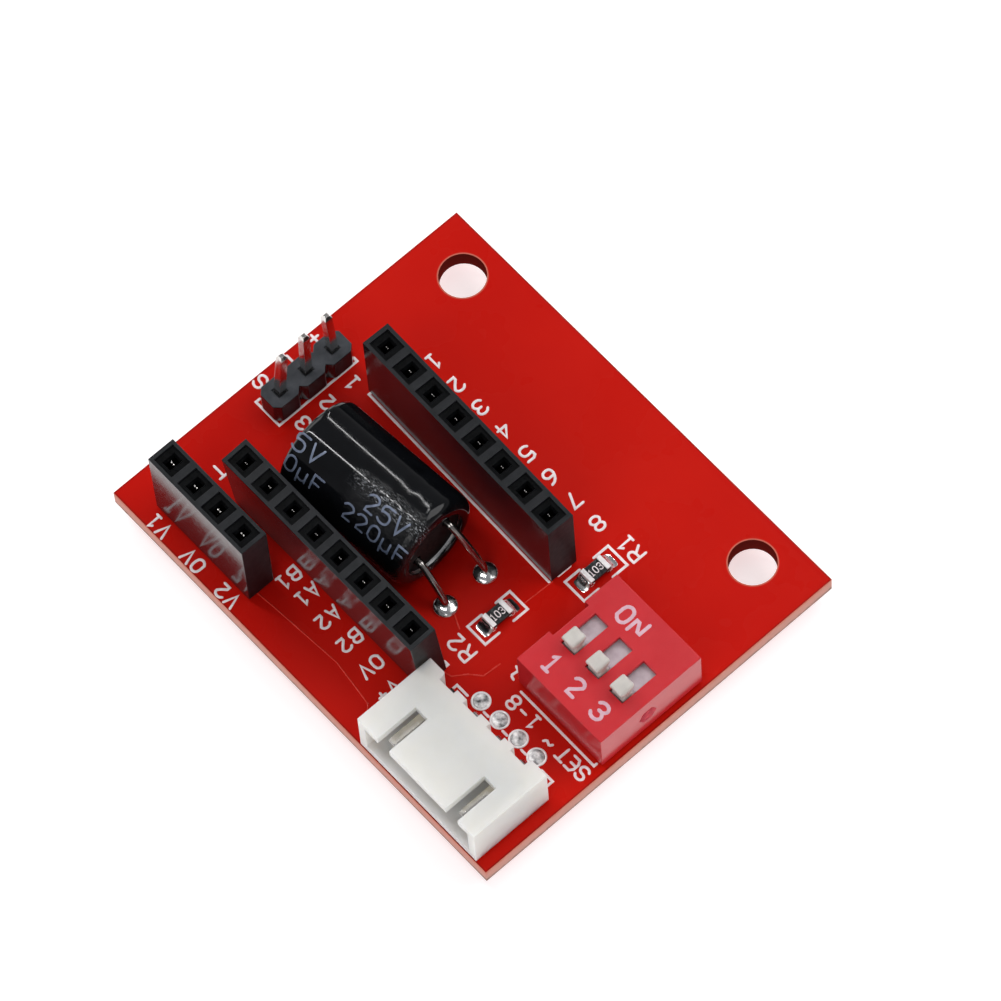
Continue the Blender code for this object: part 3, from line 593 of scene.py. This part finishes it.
def on_level(z):
    return lambda spot: (spot[0], spot[1], z + spot[2])


def ribbons(name, lines, width, rise, lay, finish, body=BODY):
    shape = bmesh.new()
    for i, line in enumerate(lines):
        add_ribbon(shape, line, width, rise * (1 + 0.12 * (i % 4)), lay)
    return piece(name, shape, finish, smooth=40, body=body)


# ---------------------------------------------------------------- materials in use

MASK = board_material()
BLACK = moulded_black("black_plastic", 1.0)
# The header's top is painted much paler: dust and a painted sheen of top light.
HEADER_BLACK = moulded_black("header_plastic", 3.2)
LEVER = lever_material()
SLEEVE = sleeve_material()
INK = surface("white_print", ((0.76, 0.67, 0.68), (0.9, 0.82, 0.83)), (0.5, 0.65), 2.0, 0.002, 6.0)
IVORY = surface("ivory_plastic", ((0.64, 0.63, 0.59), (0.68, 0.67, 0.63)), (0.36, 0.46), 0.4, 0.0015, 3.0,
                subsurface_weight=0.85, subsurface_radius=(1.0, 0.92, 0.78), subsurface_scale=0.0035)
SWITCH_RED = surface("red_switch_plastic", ((0.5, 0.019, 0.026), (0.54, 0.023, 0.03)), (0.18, 0.26),
                     0.6, 0.0008, 2.0, specular_ior_level=0.35)
TIN = surface("tinned_metal", ((0.58, 0.56, 0.53), (0.76, 0.74, 0.72)), (0.1, 0.2),
              1.2, 0.0015, 3.0, metallic=1.0)
# Painted shade: the spring contacts, deep in the socket wells, are painted nearly black metal.
SHADED_CONTACT = surface("spring_contact", ((0.03, 0.028, 0.024), (0.08, 0.07, 0.055)), (0.3, 0.5),
                  2.0, 0.002, 4.0, metallic=1.0)
SOLDER = surface("solder", ((0.66, 0.66, 0.66), (0.9, 0.9, 0.89)), (0.1, 0.22),
                 1.0, 0.02, 1.4, metallic=1.0)
PAD_FILL = surface("dull_solder", ((0.06, 0.06, 0.065), (0.95, 0.94, 0.93)), (0.3, 0.5),
                   2.0, 0.04, 3.0, metallic=0.7)
CAN = surface("can_aluminium", ((0.7, 0.7, 0.7), (0.78, 0.78, 0.78)), (0.25, 0.35), 1.0, metallic=1.0)
RUBBER = surface("black_rubber", ((0.008, 0.008, 0.008), (0.014, 0.014, 0.014)), (0.5, 0.65),
                 1.5, 0.006, 5.0, specular_ior_level=0.15)
GLAZE = surface("resistor_glaze", ((0.008, 0.0085, 0.01), (0.016, 0.017, 0.018)), (0.15, 0.3),
                1.5, 0.003, 5.0)
SLEEVE_INK = surface("sleeve_print", ((0.07, 0.09, 0.14), (0.19, 0.225, 0.31)), (0.3, 0.45),
                     1.5, 0.002, 5.0)
SWITCH_INK = surface("switch_print", ((0.55, 0.33, 0.4), (0.68, 0.43, 0.5)), (0.4, 0.5),
                     2.0, 0.002, 5.0)
# Painted shade: the guides down in the socket wells are painted far darker and duller than the socket's
# plastic.
WELL_SHADE_BLACK = surface("well_plastic_shade", ((0.0012, 0.0013, 0.0015), (0.0035, 0.004, 0.0045)), (0.25, 0.4),
                     1.5, 0.002, 4.0, specular_ior_level=0.05)
# Copper under the mask: lighter and more orange than the bare mask, partly as copper under mask looks and
# partly as a painted highlight along each trace's ridge.
COPPER_TRACE_AND_SHEEN = surface("mask_over_copper_and_sheen", ((0.6, 0.03, 0.018), (0.68, 0.045, 0.03)), (0.24, 0.32),
                           0.4, 0.004, 1.6, specular_ior_level=0.2)
TIN_RIM = surface("tinned_rim", ((0.74, 0.71, 0.71), (0.85, 0.82, 0.82)), (0.35, 0.5),
                  2.0, 0.004, 4.0, metallic=0.5)
LEAD = surface("lead_wire", ((0.26, 0.24, 0.23), (0.46, 0.43, 0.41)), (0.12, 0.24),
               0.9, 0.004, 2.0, metallic=1.0)
GATE = surface("moulding_gate", ((0.36, 0.012, 0.03), (0.62, 0.05, 0.07)), (0.5, 0.7),
               3.0, 0.03, 4.0, specular_ior_level=0.12)


def finish_nodes():
    soften("circuit_board", MASK, 0.05)
    for name in SOCKETS:
        soften(name, BLACK, 0.05)
    soften("control_header_base", HEADER_BLACK, 0.08)
    soften("motor_connector_shell", IVORY, 0.16, 3)
    soften("dip_switch_cover", SWITCH_RED, 0.06)
    soften("dip_switch_base", BLACK, 0.04)
    for name in sorted(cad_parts):
        # Painted shade: the spring contacts get nearly black metal.
        if "_contact_" in name:
            soften(name, SHADED_CONTACT, 0.03)
        if "_pin_" in name or "_terminal_" in name or "_bridge_" in name:
            soften(name, TIN, 0.03)
        if "_lever_" in name:
            soften(name, LEVER, 0.16, 4)
        if name.startswith("resistor_"):
            soften(name, GLAZE if name.endswith("body") else TIN_RIM, 0.05)
    soften("capacitor_can", CAN, 0.0)
    soften("capacitor_bung", RUBBER, 0.1)
    soften("capacitor_sleeve", SLEEVE, 0.0)
    soften("capacitor_lead_1", TIN, 0.0)
    soften("capacitor_lead_2", TIN, 0.0)


# ---------------------------------------------------------------- print on the board

INK_WIDTH = 0.2
INK_RISE = 0.03
LETTER = 1.07
SUPPLY_LABELS = {"V1": -15.97, "0V": -12.2, "V2": -8.41}
SUPPLY_LABEL_Y = -16.02
DRIVER_LABEL_Y = 7.35
HEADER_LABEL_X = -15.05
SIDEWAYS_LABELS = {"B1": (-6.46, -11.84), "A1": (-4.55, -11.7), "A2": (-2.17, -11.8),
                   "B2": (0.25, -11.85), "0V": (2.8, -12.1), "V+": (5.1, -12.5), "T": (-16.3, -9.95)}

# The rest of the print: a text, its height, middle and turn, then its squeeze and letter gap.
OTHER_LABELS = (
    ("+", 1.3, (-19.65, 2.2), 180),
    ("-", 1.3, (-19.65, -0.2), 180),
    ("S", LETTER, (-19.7, -3.0), 180),
    ("R1", 1.18, (8.62, 7.75), 180),
    ("R2", 1.18, (6.15, -6.4), 180),
    ("SET", LETTER, (18.25, -6.6), 180, 1.0, 1.6),
    ("~", LETTER, (15.85, -6.8), 185),
    ("1-8", LETTER, (12.9, -6.5), 180),
    ("~", 1.5, (10.2, -4.9), 110),
)


def bracket(low, high, leg):
    """The two ends of a resistor's outline, open in the middle of its long sides."""
    x0, y0, x1, y1 = *low, *high
    return [
        [(x0, y0 + leg), (x0, y0), (x1, y0), (x1, y0 + leg)],
        [(x0, y1 - leg), (x0, y1), (x1, y1), (x1, y1 - leg)],
    ]


def board_outlines():
    """Straight runs of print beside the header, sockets, connector, filled pads and resistors."""
    lines = [[(-18.67, -3.95), (-18.67, -4.32), (-16.08, -4.32), (-16.12, 3.27), (-16.5, 3.27)]]
    lines += [[(-13.5, 2.76), (-13.5, 2.12), (6.6, 1.68)], [(6.66, 2.5), (6.66, 3.65)]]
    lines += [[(6.1, -7.98), (6.45, -7.98), (6.45, -8.4)]]
    rear = -8.56
    lines += [[(8.08, -9.5), (8.08, rear), (9.2, rear)], [(17.1, rear), (18.28, rear), (18.28, -9.5)]]
    lines += [[(x - 0.24, rear), (x + 0.24, rear)] for x in (11.2, 13.2, 15.2)]
    lines += [[(11.59, -5.56), (19.4, -5.6), (19.4, -5.35)]]
    lines += bracket((5.18, -4.96), (7.1, -0.88), 1.35)
    lines += bracket((7.34, 2.52), (9.4, 6.71), 1.4)
    return lines


def board_labels():
    lines = []
    for text, x in SUPPLY_LABELS.items():
        lines += lettering(text, LETTER, (x, SUPPLY_LABEL_Y), 180)
    for text, spot in SIDEWAYS_LABELS.items():
        lines += lettering(text, LETTER, spot, -90)
    for number in range(1, 9):
        spot = centre_of(f"driver_socket_right_contact_{number}")
        lines += lettering(str(number), LETTER + 0.1, (spot.x + 0.05, DRIVER_LABEL_Y), -90)
    for number, pin in enumerate(("3", "2", "1"), start=1):
        spot = centre_of(f"control_header_pin_{number}")
        lines += lettering(pin, LETTER, (HEADER_LABEL_X, spot.y), 180)
    for label in OTHER_LABELS:
        lines += lettering(*label)
    return lines


def make_board_print():
    lay = on_level(TOP)
    ribbons("board_outlines", board_outlines(), INK_WIDTH, INK_RISE, lay, INK)
    ribbons("board_labels", board_labels(), INK_WIDTH, INK_RISE, lay, INK)


# ---------------------------------------------------------------- copper under the mask, pads and solder

TRACE_RISE = 0.035
TRACES = (
    (0.12, [(5.6, -8.9), (7.3, -8.4), (8.0, -7.4), (8.85, -6.7), (8.95, -5.2)]),
    (0.1, [(6.7, 1.9), (6.6, -0.7)]),
    (0.1, [(-13.8, -14.9), (-5.72, -14.16), (0.9, -13.7), (4.83, -14.2), (5.4, -14.8)]),
    (0.12, [(3.8, -5.0), (4.9, -5.5)]),
    (0.12, [(9.8, 5.2), (11.2, 5.1), (15.9, 5.0), (16.2, 4.7)]),
)
BOTTOM_TRACES = (
    (0.5, [(-12.3, 3.2), (-12.3, 6.5), (-4.0, 12.5), (8.0, 12.5)]),
    (0.5, [(-7.2, -9.5), (-7.2, -6.0), (2.9, -1.2)]),
    (0.5, [(2.9, -5.05), (6.0, -7.5), (9.3, -9.9)]),
    (0.3, [(-4.7, 3.2), (-4.7, 6.0), (9.0, 8.6), (12.9, 3.4)]),
    (0.3, [(-2.2, 3.2), (-2.2, 5.0), (10.5, 7.6), (15.4, 3.4)]),
    (0.3, [(0.4, 3.2), (0.4, 4.6), (12.0, 6.6), (17.9, 3.4)]),
    (0.6, [(-15.9, -13.9), (-15.9, -6.0), (-12.3, -9.5)]),
    (0.4, [(-10.9, -13.9), (-9.8, -12.0), (-9.8, -9.5)]),
    (0.3, [(-17.2, -3.1), (-14.5, -1.0), (-12.5, 1.0), (-9.8, 3.2)]),
    (0.3, [(-17.2, -0.6), (-14.8, 1.8), (-12.3, 3.2)]),
)
SPARE_PADS = (10.18, 12.19, 14.18, 16.11)
SPARE_PAD_Y = -8.13
PAD_RIM = ((0.0, -0.1), (0.75, -0.1), (0.75, 0.02), (0.71, 0.05), (0.62, 0.05), (0.58, 0.02), (0.0, 0.02))
SUNK = 0.1


def make_traces():
    for side, level, traces in (("top", TOP, TRACES), ("bottom", BOTTOM, BOTTOM_TRACES)):
        sign = 1 if side == "top" else -1
        shape = bmesh.new()
        for width, line in traces:
            add_ribbon(shape, line, width, TRACE_RISE * sign, on_level(level))
        piece(f"masked_traces_{side}", shape, COPPER_TRACE_AND_SHEEN, smooth=50)


def dome(radius, height):
    """A solder dome's profile: a short upright edge, then a round top."""
    edge, steps = 0.03, 6
    points = [(0.0, -SUNK), (radius, -SUNK), (radius, edge)]
    for i in range(steps):
        turn = math.radians(6 + 84 * i / steps)
        points.append((radius * math.cos(turn), edge + height * math.sin(turn)))
    return points + [(0.0, edge + height)]


def cone(radius, stem, height):
    """A solder fillet's profile: a hollow slope from the pad up to the lead."""
    edge, steps = 0.04, 6
    points = [(0.0, -SUNK), (radius, -SUNK), (radius, edge)]
    for i in range(1, steps + 1):
        share = i / steps
        points.append((radius + (stem - radius) * (1 - (1 - share) ** 2.2), edge + height * share**1.7))
    return points + [(0.0, edge + height)]


def lead_spots():
    """Where each lead goes through the board, with the size of its pad."""
    names = []
    for socket, (ways, _) in SOCKETS.items():
        names += [(f"{socket}_contact_{i}", 0.85) for i in range(1, ways + 1)]
    names += [(f"control_header_pin_{i}", 0.9) for i in (1, 2, 3)]
    names += [(f"motor_connector_pin_{i}", 0.9) for i in (1, 2, 3, 4)]
    names += [(f"dip_switch_terminal_{i}{side}", 0.85) for i in (1, 2, 3) for side in "ab"]
    names += [(f"capacitor_lead_{i}", 0.95) for i in (1, 2)]
    return [(tail_spot(name), radius) for name, radius in names]


def make_solder():
    shape = bmesh.new()
    for spot, radius in lead_spots():
        add_turned(shape, cone(radius, 0.36, 0.85), (*spot, BOTTOM), (0.0, 0.0, -1.0), 24)
    piece("solder_joints_bottom", shape, SOLDER, smooth=50)
    shape = bmesh.new()
    for i in (1, 2):
        spot = tail_spot(f"capacitor_lead_{i}")
        add_turned(shape, dome(0.95, 0.36), (*spot, TOP))
    piece("capacitor_solder_joints", shape, SOLDER, smooth=50)
    shape = bmesh.new()
    for i, x in enumerate(SPARE_PADS):
        add_turned(shape, dome(0.6, 0.07 + 0.02 * (i % 2)), (x, SPARE_PAD_Y, TOP))
    piece("spare_pad_solder", shape, PAD_FILL, smooth=50)
    shape = bmesh.new()
    for x in SPARE_PADS:
        add_turned(shape, PAD_RIM, (x, SPARE_PAD_Y, TOP))
    piece("pad_rims", shape, TIN_RIM, smooth=50)


# ---------------------------------------------------------------- chip resistors

FILLET_HALF = 0.66
FILLET_REACH = 0.72
FILLET_RISE = 0.6
FILLET_LAP = 0.2
FILLET_EDGE = 0.04


def make_resistor_details(name, digits):
    low, high = box_mm(f"{name}_body")
    middle = (low + high) / 2
    caps = [corner.y for end in "ab" for corner in box_mm(f"{name}_end_{end}")]
    shape = bmesh.new()
    for y, way in ((min(caps), -1.0), (max(caps), 1.0)):
        add_fillet(shape, middle.x, y, way)
    piece(f"{name}_solder", shape, SOLDER, smooth=60)
    lines = lettering(digits, 0.56, (middle.x, middle.y), 90, squeeze=0.76)
    lay = on_level(high.z)
    ribbons(f"{name}_value", lines, 0.075, 0.012, lay, INK)


def add_fillet(shape, x, y, way):
    """Solder that climbs a resistor's end from its pad, and laps over the end cap at its full height.
    Its section is hollow, its plan is rounded."""
    across, along = 8, 9
    run = FILLET_LAP + FILLET_REACH
    start = FILLET_LAP / run
    grid = []
    for i in range(along + 1):
        share = i / along
        row = []
        for j in range(across + 1):
            side = 2 * j / across - 1
            width = FILLET_HALF * (1 - 0.12 * share**2)
            fall = max(0.0, (share - start) / (1 - start))
            height = FILLET_EDGE + FILLET_RISE * (1 - fall) ** 1.9 * (1 - 0.3 * side**4)
            out = y + way * (run * share * (1 - 0.1 * side**4) - FILLET_LAP)
            row.append(shape.verts.new((x + side * width, out, TOP + height)))
        grid.append(row)
    base = [[shape.verts.new((v.co.x, v.co.y, TOP - SUNK)) for v in row] for row in grid]
    for top_row, top_next, low_row, low_next in zip(grid, grid[1:], base, base[1:]):
        for j in range(across):
            shape.faces.new((top_row[j], top_row[j + 1], top_next[j + 1], top_next[j]))
            shape.faces.new((low_row[j], low_next[j], low_next[j + 1], low_row[j + 1]))
    for j in range(across):
        shape.faces.new((grid[0][j], base[0][j], base[0][j + 1], grid[0][j + 1]))
        shape.faces.new((grid[-1][j + 1], base[-1][j + 1], base[-1][j], grid[-1][j]))
    for i in range(along):
        for j in (0, across):
            shape.faces.new((grid[i][j], grid[i + 1][j], base[i + 1][j], base[i][j]))


# ---------------------------------------------------------------- switch print and mark

LEGEND_LETTER = 1.38
ON_SPOT = (14.4, 2.75)
NUMBERS_Y = -3.62
GATE_Y = -0.75
GATE_MARK = ((0.0, -0.2), (0.76, -0.2), (0.8, 0.02), (0.6, 0.07), (0.35, 0.03), (0.15, 0.08), (0.0, 0.05))


def make_switch_details():
    """The legend on the switch's cover, and the rough round spot where its mould was filled."""
    low, high = box_mm("dip_switch_cover")
    lay = on_level(high.z)
    lines = lettering("ON", LEGEND_LETTER, ON_SPOT)
    for i in (1, 2, 3):
        lever = centre_of(f"dip_switch_lever_{i}")
        lines += lettering(str(i), LEGEND_LETTER, (lever.x + 0.05, NUMBERS_Y))
    ribbons("switch_legend", lines, 0.27, 0.02, lay, SWITCH_INK)
    shape = bmesh.new()
    add_turned(shape, GATE_MARK, (high.x, GATE_Y, (low.z + high.z) / 2), (1.0, 0.0, 0.0), 6)
    piece("switch_gate_mark", shape, GATE, smooth=60)


# ---------------------------------------------------------------- switch levers

NUB_LAP = 0.4
NUB_HOLLOW = 0.36
NUB_OVERHANG = 0.2
NUB_DISH = 0.07
UNDER_RIM = 0.06

# Slices across one half of a nub: a share of its half width, and how far its corners are rounded off.
NUB_HALF = ((1.0, 0.2), (0.93, 0.09), (0.8, 0.03), (0.6, 0.0), (0.3, 0.0))
NUB_SLICES = [(-at, cut) for at, cut in NUB_HALF] + [(0.0, 0.0)] + list(reversed(NUB_HALF))


def nub_section(half, low, rim, high, shrink, overhang):
    """One half of a nub seen from the side, foot to crown: straight up to a level, then hollow."""
    spots = [(half - shrink, low)]
    shoulder = high - shrink - 0.14
    for i in range(9):
        share = i / 8
        hollow = NUB_HOLLOW * math.sin(math.pi * share) ** 1.2
        spots.append((half - shrink - hollow + overhang * share, rim + (shoulder - rim) * share))
    spots.append((half - shrink + overhang - 0.04, high - shrink - 0.04))
    spots.append((half - shrink + overhang - 0.14, high - shrink))
    return spots


def make_lever_piece(number):
    """A softer lever than the CAD node: a flat slide of the same size, with a hollow, rounded nub. The
    nub's crown stands out over the slot's near end."""
    name = f"dip_switch_lever_{number}"
    places = places_of(name)
    low, high = box_mm(name)
    crown = [p for p in places if p.z > high.z - 0.01]
    slide_top = max(p.z for p in places if p.y < low.y + 0.01)
    centre_x = (low.x + high.x) / 2
    near, far = min(p.y for p in crown), max(p.y for p in crown)
    half_x = max(p.x for p in crown) - centre_x
    centre_y, half_y = (near + far) / 2, (far - near) / 2
    shape = bmesh.new()
    bmesh.ops.create_cube(shape, size=1.0)
    size = (high.x - low.x, high.y - low.y, slide_top - low.z)
    bmesh.ops.scale(shape, vec=size, verts=shape.verts)
    middle = (centre_x, (low.y + high.y) / 2, (low.z + slide_top) / 2)
    bmesh.ops.translate(shape, vec=middle, verts=shape.verts)
    foot, rim = slide_top - NUB_LAP, box_mm("dip_switch_cover")[1].z
    rings = []
    for across, shrink in NUB_SLICES:
        half = half_y - NUB_DISH * (1 - across**2)
        near_side = nub_section(half, foot, rim - UNDER_RIM, high.z, shrink, NUB_OVERHANG)
        far_side = nub_section(half, foot, slide_top, high.z, shrink, 0.0)
        loop = far_side + [(-y, z) for y, z in reversed(near_side)]
        rings.append([shape.verts.new((centre_x + half_x * across, centre_y + y, z)) for y, z in loop])
    join_rings(shape, rings, closed=False)
    made = piece(f"lever_nub_{number}", shape, LEVER, smooth=40, body=f"lever_{number}")
    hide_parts(name)


# ---------------------------------------------------------------- capacitor


def cap_frame():
    """Local Z runs along the capacitor from its closed end to its leads, and local -X is up."""
    lie = Matrix.Rotation(CAP_YAW, 4, "Z") @ Matrix.Rotation(math.pi / 2, 4, "Y")
    axis = lie.to_3x3() @ Vector((0.0, 0.0, 1.0))
    return Matrix.Translation(CAP_CENTRE - axis * CAP_LENGTH / 2) @ lie


def arc(centre, radius, start, end, steps):
    turns = [math.radians(start + (end - start) * i / steps) for i in range(steps + 1)]
    return [(centre[0] + radius * math.cos(a), centre[1] + radius * math.sin(a)) for a in turns]


def bead_dip(height):
    """How deep the rolled bead under the sleeve is, at a height from the capacitor's closed end."""
    from_bead = (height - CAP_LENGTH + CAP_BEAD_FROM_END) / CAP_BEAD_HALF
    return CAP_BEAD_DEPTH * math.exp(-(from_bead**2) * 2)


def sleeve_profile():
    """The sleeve's section: long sides with a bead, and two ends that turn in over the can."""
    outer, inner = CAP_RADIUS, CAP_RADIUS - CAP_SLEEVE
    outside = arc((outer - CAP_BACK_ROUND, CAP_BACK_ROUND), CAP_BACK_ROUND, -90, 0, 8)
    steps = 46
    start, end = CAP_BACK_ROUND, CAP_LENGTH - CAP_FRONT_ROUND
    for i in range(1, steps):
        z = start + (end - start) * i / steps
        outside.append((outer - bead_dip(z), z))
    outside += arc((outer - CAP_FRONT_ROUND, end), CAP_FRONT_ROUND, 0, 90, 10)
    outside += [(radius, CAP_LENGTH - depth) for radius, depth in SLEEVE_MOUTH]
    inside = [(outer - CAP_FRONT_ROUND, CAP_LENGTH - CAP_SLEEVE), (inner, end), (inner, start)]
    return outside + inside + [(outer - CAP_BACK_ROUND, CAP_SLEEVE)]


def add_sleeve(shape, place):
    """The sleeve's profile turned about the capacitor's axis. Only its outside is rippled."""
    sides = 120
    rings = []
    for i in range(sides):
        turn = 2 * math.pi * i / sides
        ring = []
        for radius, height in sleeve_profile():
            outside = radius > CAP_RADIUS - CAP_SLEEVE + 0.005
            r = radius + (sleeve_ripple(turn, height) if outside else 0.0)
            ring.append(shape.verts.new(place @ Vector((r * math.cos(turn), r * math.sin(turn), height))))
        rings.append(ring)
    join_rings(shape, rings, closed=True)


def sleeve_ripple(turn, height):
    """Shallow waves in the shrunk sleeve, with faint creases that are deepest near the leads."""
    waves = 0.003 * math.sin(2 * turn + 0.25 * height) + 0.0008 * math.sin(5 * turn - 0.8 * height + 1.0)
    crease = 0.004 * math.sin(23 * turn + 5.0 * height) * math.exp(-(((height - 9.3) / 1.3) ** 2))
    return (waves + crease) * min(1.0, height / 3.0, (CAP_LENGTH - height) / 1.0) - 0.018


def on_capacitor(place):
    """Lays (along, around, height) on the sleeve. Along is from its middle, around is from its top."""
    bead_starts = CAP_LENGTH - CAP_BEAD_FROM_END - 1.2

    def lay(spot):
        along, around, up = spot
        turn = around / CAP_RADIUS
        z = along + CAP_LENGTH / 2
        radius = CAP_RADIUS + up + sleeve_ripple(math.pi - turn, z)
        if z > bead_starts:
            radius -= bead_dip(z)
        return place @ Vector((-radius * math.cos(turn), radius * math.sin(turn), z))

    return lay


def bezier(corners, steps):
    """Points along a cubic curve, from the first of its four corners to the last."""
    out = []
    for i in range(steps + 1):
        t = i / steps
        weights = ((1 - t) ** 3, 3 * t * (1 - t) ** 2, 3 * t * t * (1 - t), t**3)
        out.append(sum((w * c for w, c in zip(weights, corners)), Vector()))
    return out


def make_lead(number, place, local_y):
    """A smooth round lead: out of the bung, over, and down through its hole."""
    spot = tail_spot(f"capacitor_lead_{number}")
    turned_frame = place @ Matrix.Rotation(CAP_ROLL, 4, "Z")
    start = turned_frame @ Vector((0.0, local_y, CAP_LENGTH - 1.8))
    leave = turned_frame @ Vector((0.0, local_y, CAP_LENGTH - 0.1))
    down = Vector((*spot, TOP + 0.4))
    reach = (down - leave).length
    heading = (leave - start).normalized()
    corners = (leave, leave + heading * reach * 0.06, down + Vector((0.0, 0.0, reach * 0.2)), down)
    points = [start, *bezier(corners, 24), Vector((*spot, 0.0))]
    curve = bpy.data.curves.new(f"lead_wire_{number}", "CURVE")
    curve.dimensions = "3D"
    curve.bevel_depth = LEAD_RADIUS * MM
    curve.bevel_resolution = 6
    curve.use_fill_caps = True
    spline = curve.splines.new("POLY")
    spline.points.add(len(points) - 1)
    for target, point in zip(spline.points, points):
        target.co = (*(point * MM), 1.0)
    curve.materials.append(LEAD)
    lead = bpy.data.objects.new(f"lead_wire_{number}", curve)
    bpy.context.scene.collection.objects.link(lead)
    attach(lead, BODY)
    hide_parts(f"capacitor_lead_{number}")


def make_capacitor_details():
    place = cap_frame()
    shape = bmesh.new()
    add_sleeve(shape, place)
    sleeve = piece("shrunk_sleeve", shape, SLEEVE, smooth=35)
    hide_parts("capacitor_sleeve")
    for number, local_y in ((1, LEAD_FROM_AXIS), (2, -LEAD_FROM_AXIS)):
        make_lead(number, place, local_y)
    lines = [fine(line, 0.25) for label in CAP_PRINT for line in lettering(*label)]
    ribbons("capacitor_value", lines, 0.17, 0.012, on_capacitor(place), SLEEVE_INK)


# ---------------------------------------------------------------- socket wells

WELL = (0.94, 0.87)
WELL_SLOT = (0.3, 0.45)
WELL_SLOT_FLARE = 0.14
WELL_DEPTH = 0.16
WELL_FLOOR = 0.3
RIM_OVER_CONTACT = 1.6
TIP_PROFILE = ((0.0, -0.1), (0.13, -0.1), (0.13, 1.08), (0.1, 1.17), (0.05, 1.21), (0.0, 1.22))
TIP_FROM_MIDDLE = 0.14
SEAT_HALF = 0.5
SEAT_HOLE = 0.345
SEAT_DEPTH = 0.06
SEAT_FLOOR = 0.5


def make_well_floors(socket, ways):
    """The chamfered guide under each well's rim, with the slot that the pin goes into. Each ring is half
    its length and width, and its depth under the guide's outer edge."""
    flared = tuple(half + WELL_SLOT_FLARE for half in WELL_SLOT)
    levels = ((WELL, 0.0), (flared, 0.0), (WELL_SLOT, WELL_FLOOR), (WELL, WELL_FLOOR))
    first, last = ends_of(f"{socket}_contact_1")[0], ends_of(f"{socket}_contact_{ways}")[0]
    row = (last - first).normalized()
    shape = bmesh.new()
    for i in range(1, ways + 1):
        tail, tip = ends_of(f"{socket}_contact_{i}")
        rise = (tip - tail).normalized()
        across = rise.cross(row).normalized()
        centre = tip + rise * (RIM_OVER_CONTACT - WELL_DEPTH)
        rings = []
        for halves, depth in levels:
            spots = [centre + row * u + across * v - rise * depth for u, v in rectangle(*halves)]
            rings.append([shape.verts.new(spot) for spot in spots])
        join_rings(shape, rings, closed=True)
    # The guides carry painted shade: a darker black than the socket.
    piece(f"{socket}_guides", shape, WELL_SHADE_BLACK)


def make_contact_tips(socket, ways, width):
    """The rounded tips of the spring leaves, which all but meet in the middle of each well."""
    profile = [(radius * width, height) for radius, height in TIP_PROFILE]
    shape = bmesh.new()
    for i in range(1, ways + 1):
        tail, tip = ends_of(f"{socket}_contact_{i}")
        rise = (tip - tail).normalized()
        row = rise.cross(Vector((0.0, 1.0, 0.0))).normalized()
        for side in (-TIP_FROM_MIDDLE, TIP_FROM_MIDDLE):
            add_turned(shape, profile, tip + row * side * width, rise, 10)
    piece(f"{socket}_tips", shape, TIN, smooth=60)


def make_header_seats():
    """The plastic that closes in on each header pin, just under the top of the base."""
    top = box_mm("control_header_base")[1].z - SEAT_DEPTH
    floor = top - SEAT_FLOOR
    levels = ((SEAT_HALF, top), (SEAT_HOLE, top - 0.03), (SEAT_HOLE, floor), (SEAT_HALF, floor))
    shape = bmesh.new()
    for i in (1, 2, 3):
        spot = tail_spot(f"control_header_pin_{i}")
        rings = []
        for half, level in levels:
            corners = [(spot.x + u, spot.y + v, level) for u, v in rectangle(half, half)]
            rings.append([shape.verts.new(corner) for corner in corners])
        join_rings(shape, rings, closed=True)
    piece("control_header_seats", shape, BLACK)


def make_details():
    make_header_seats()
    for socket, (ways, tip_width) in SOCKETS.items():
        make_well_floors(socket, ways)
        make_contact_tips(socket, ways, tip_width)
    make_board_print()
    make_traces()
    make_solder()
    for number in (1, 2):
        make_resistor_details(f"resistor_{number}", "103")
    make_switch_details()
    for number in (1, 2, 3):
        make_lever_piece(number)
    make_capacitor_details()


make_camera()
make_light()
make_floor()
finish_nodes()
make_details()

bpy.context.scene.view_settings.view_transform = "Standard"
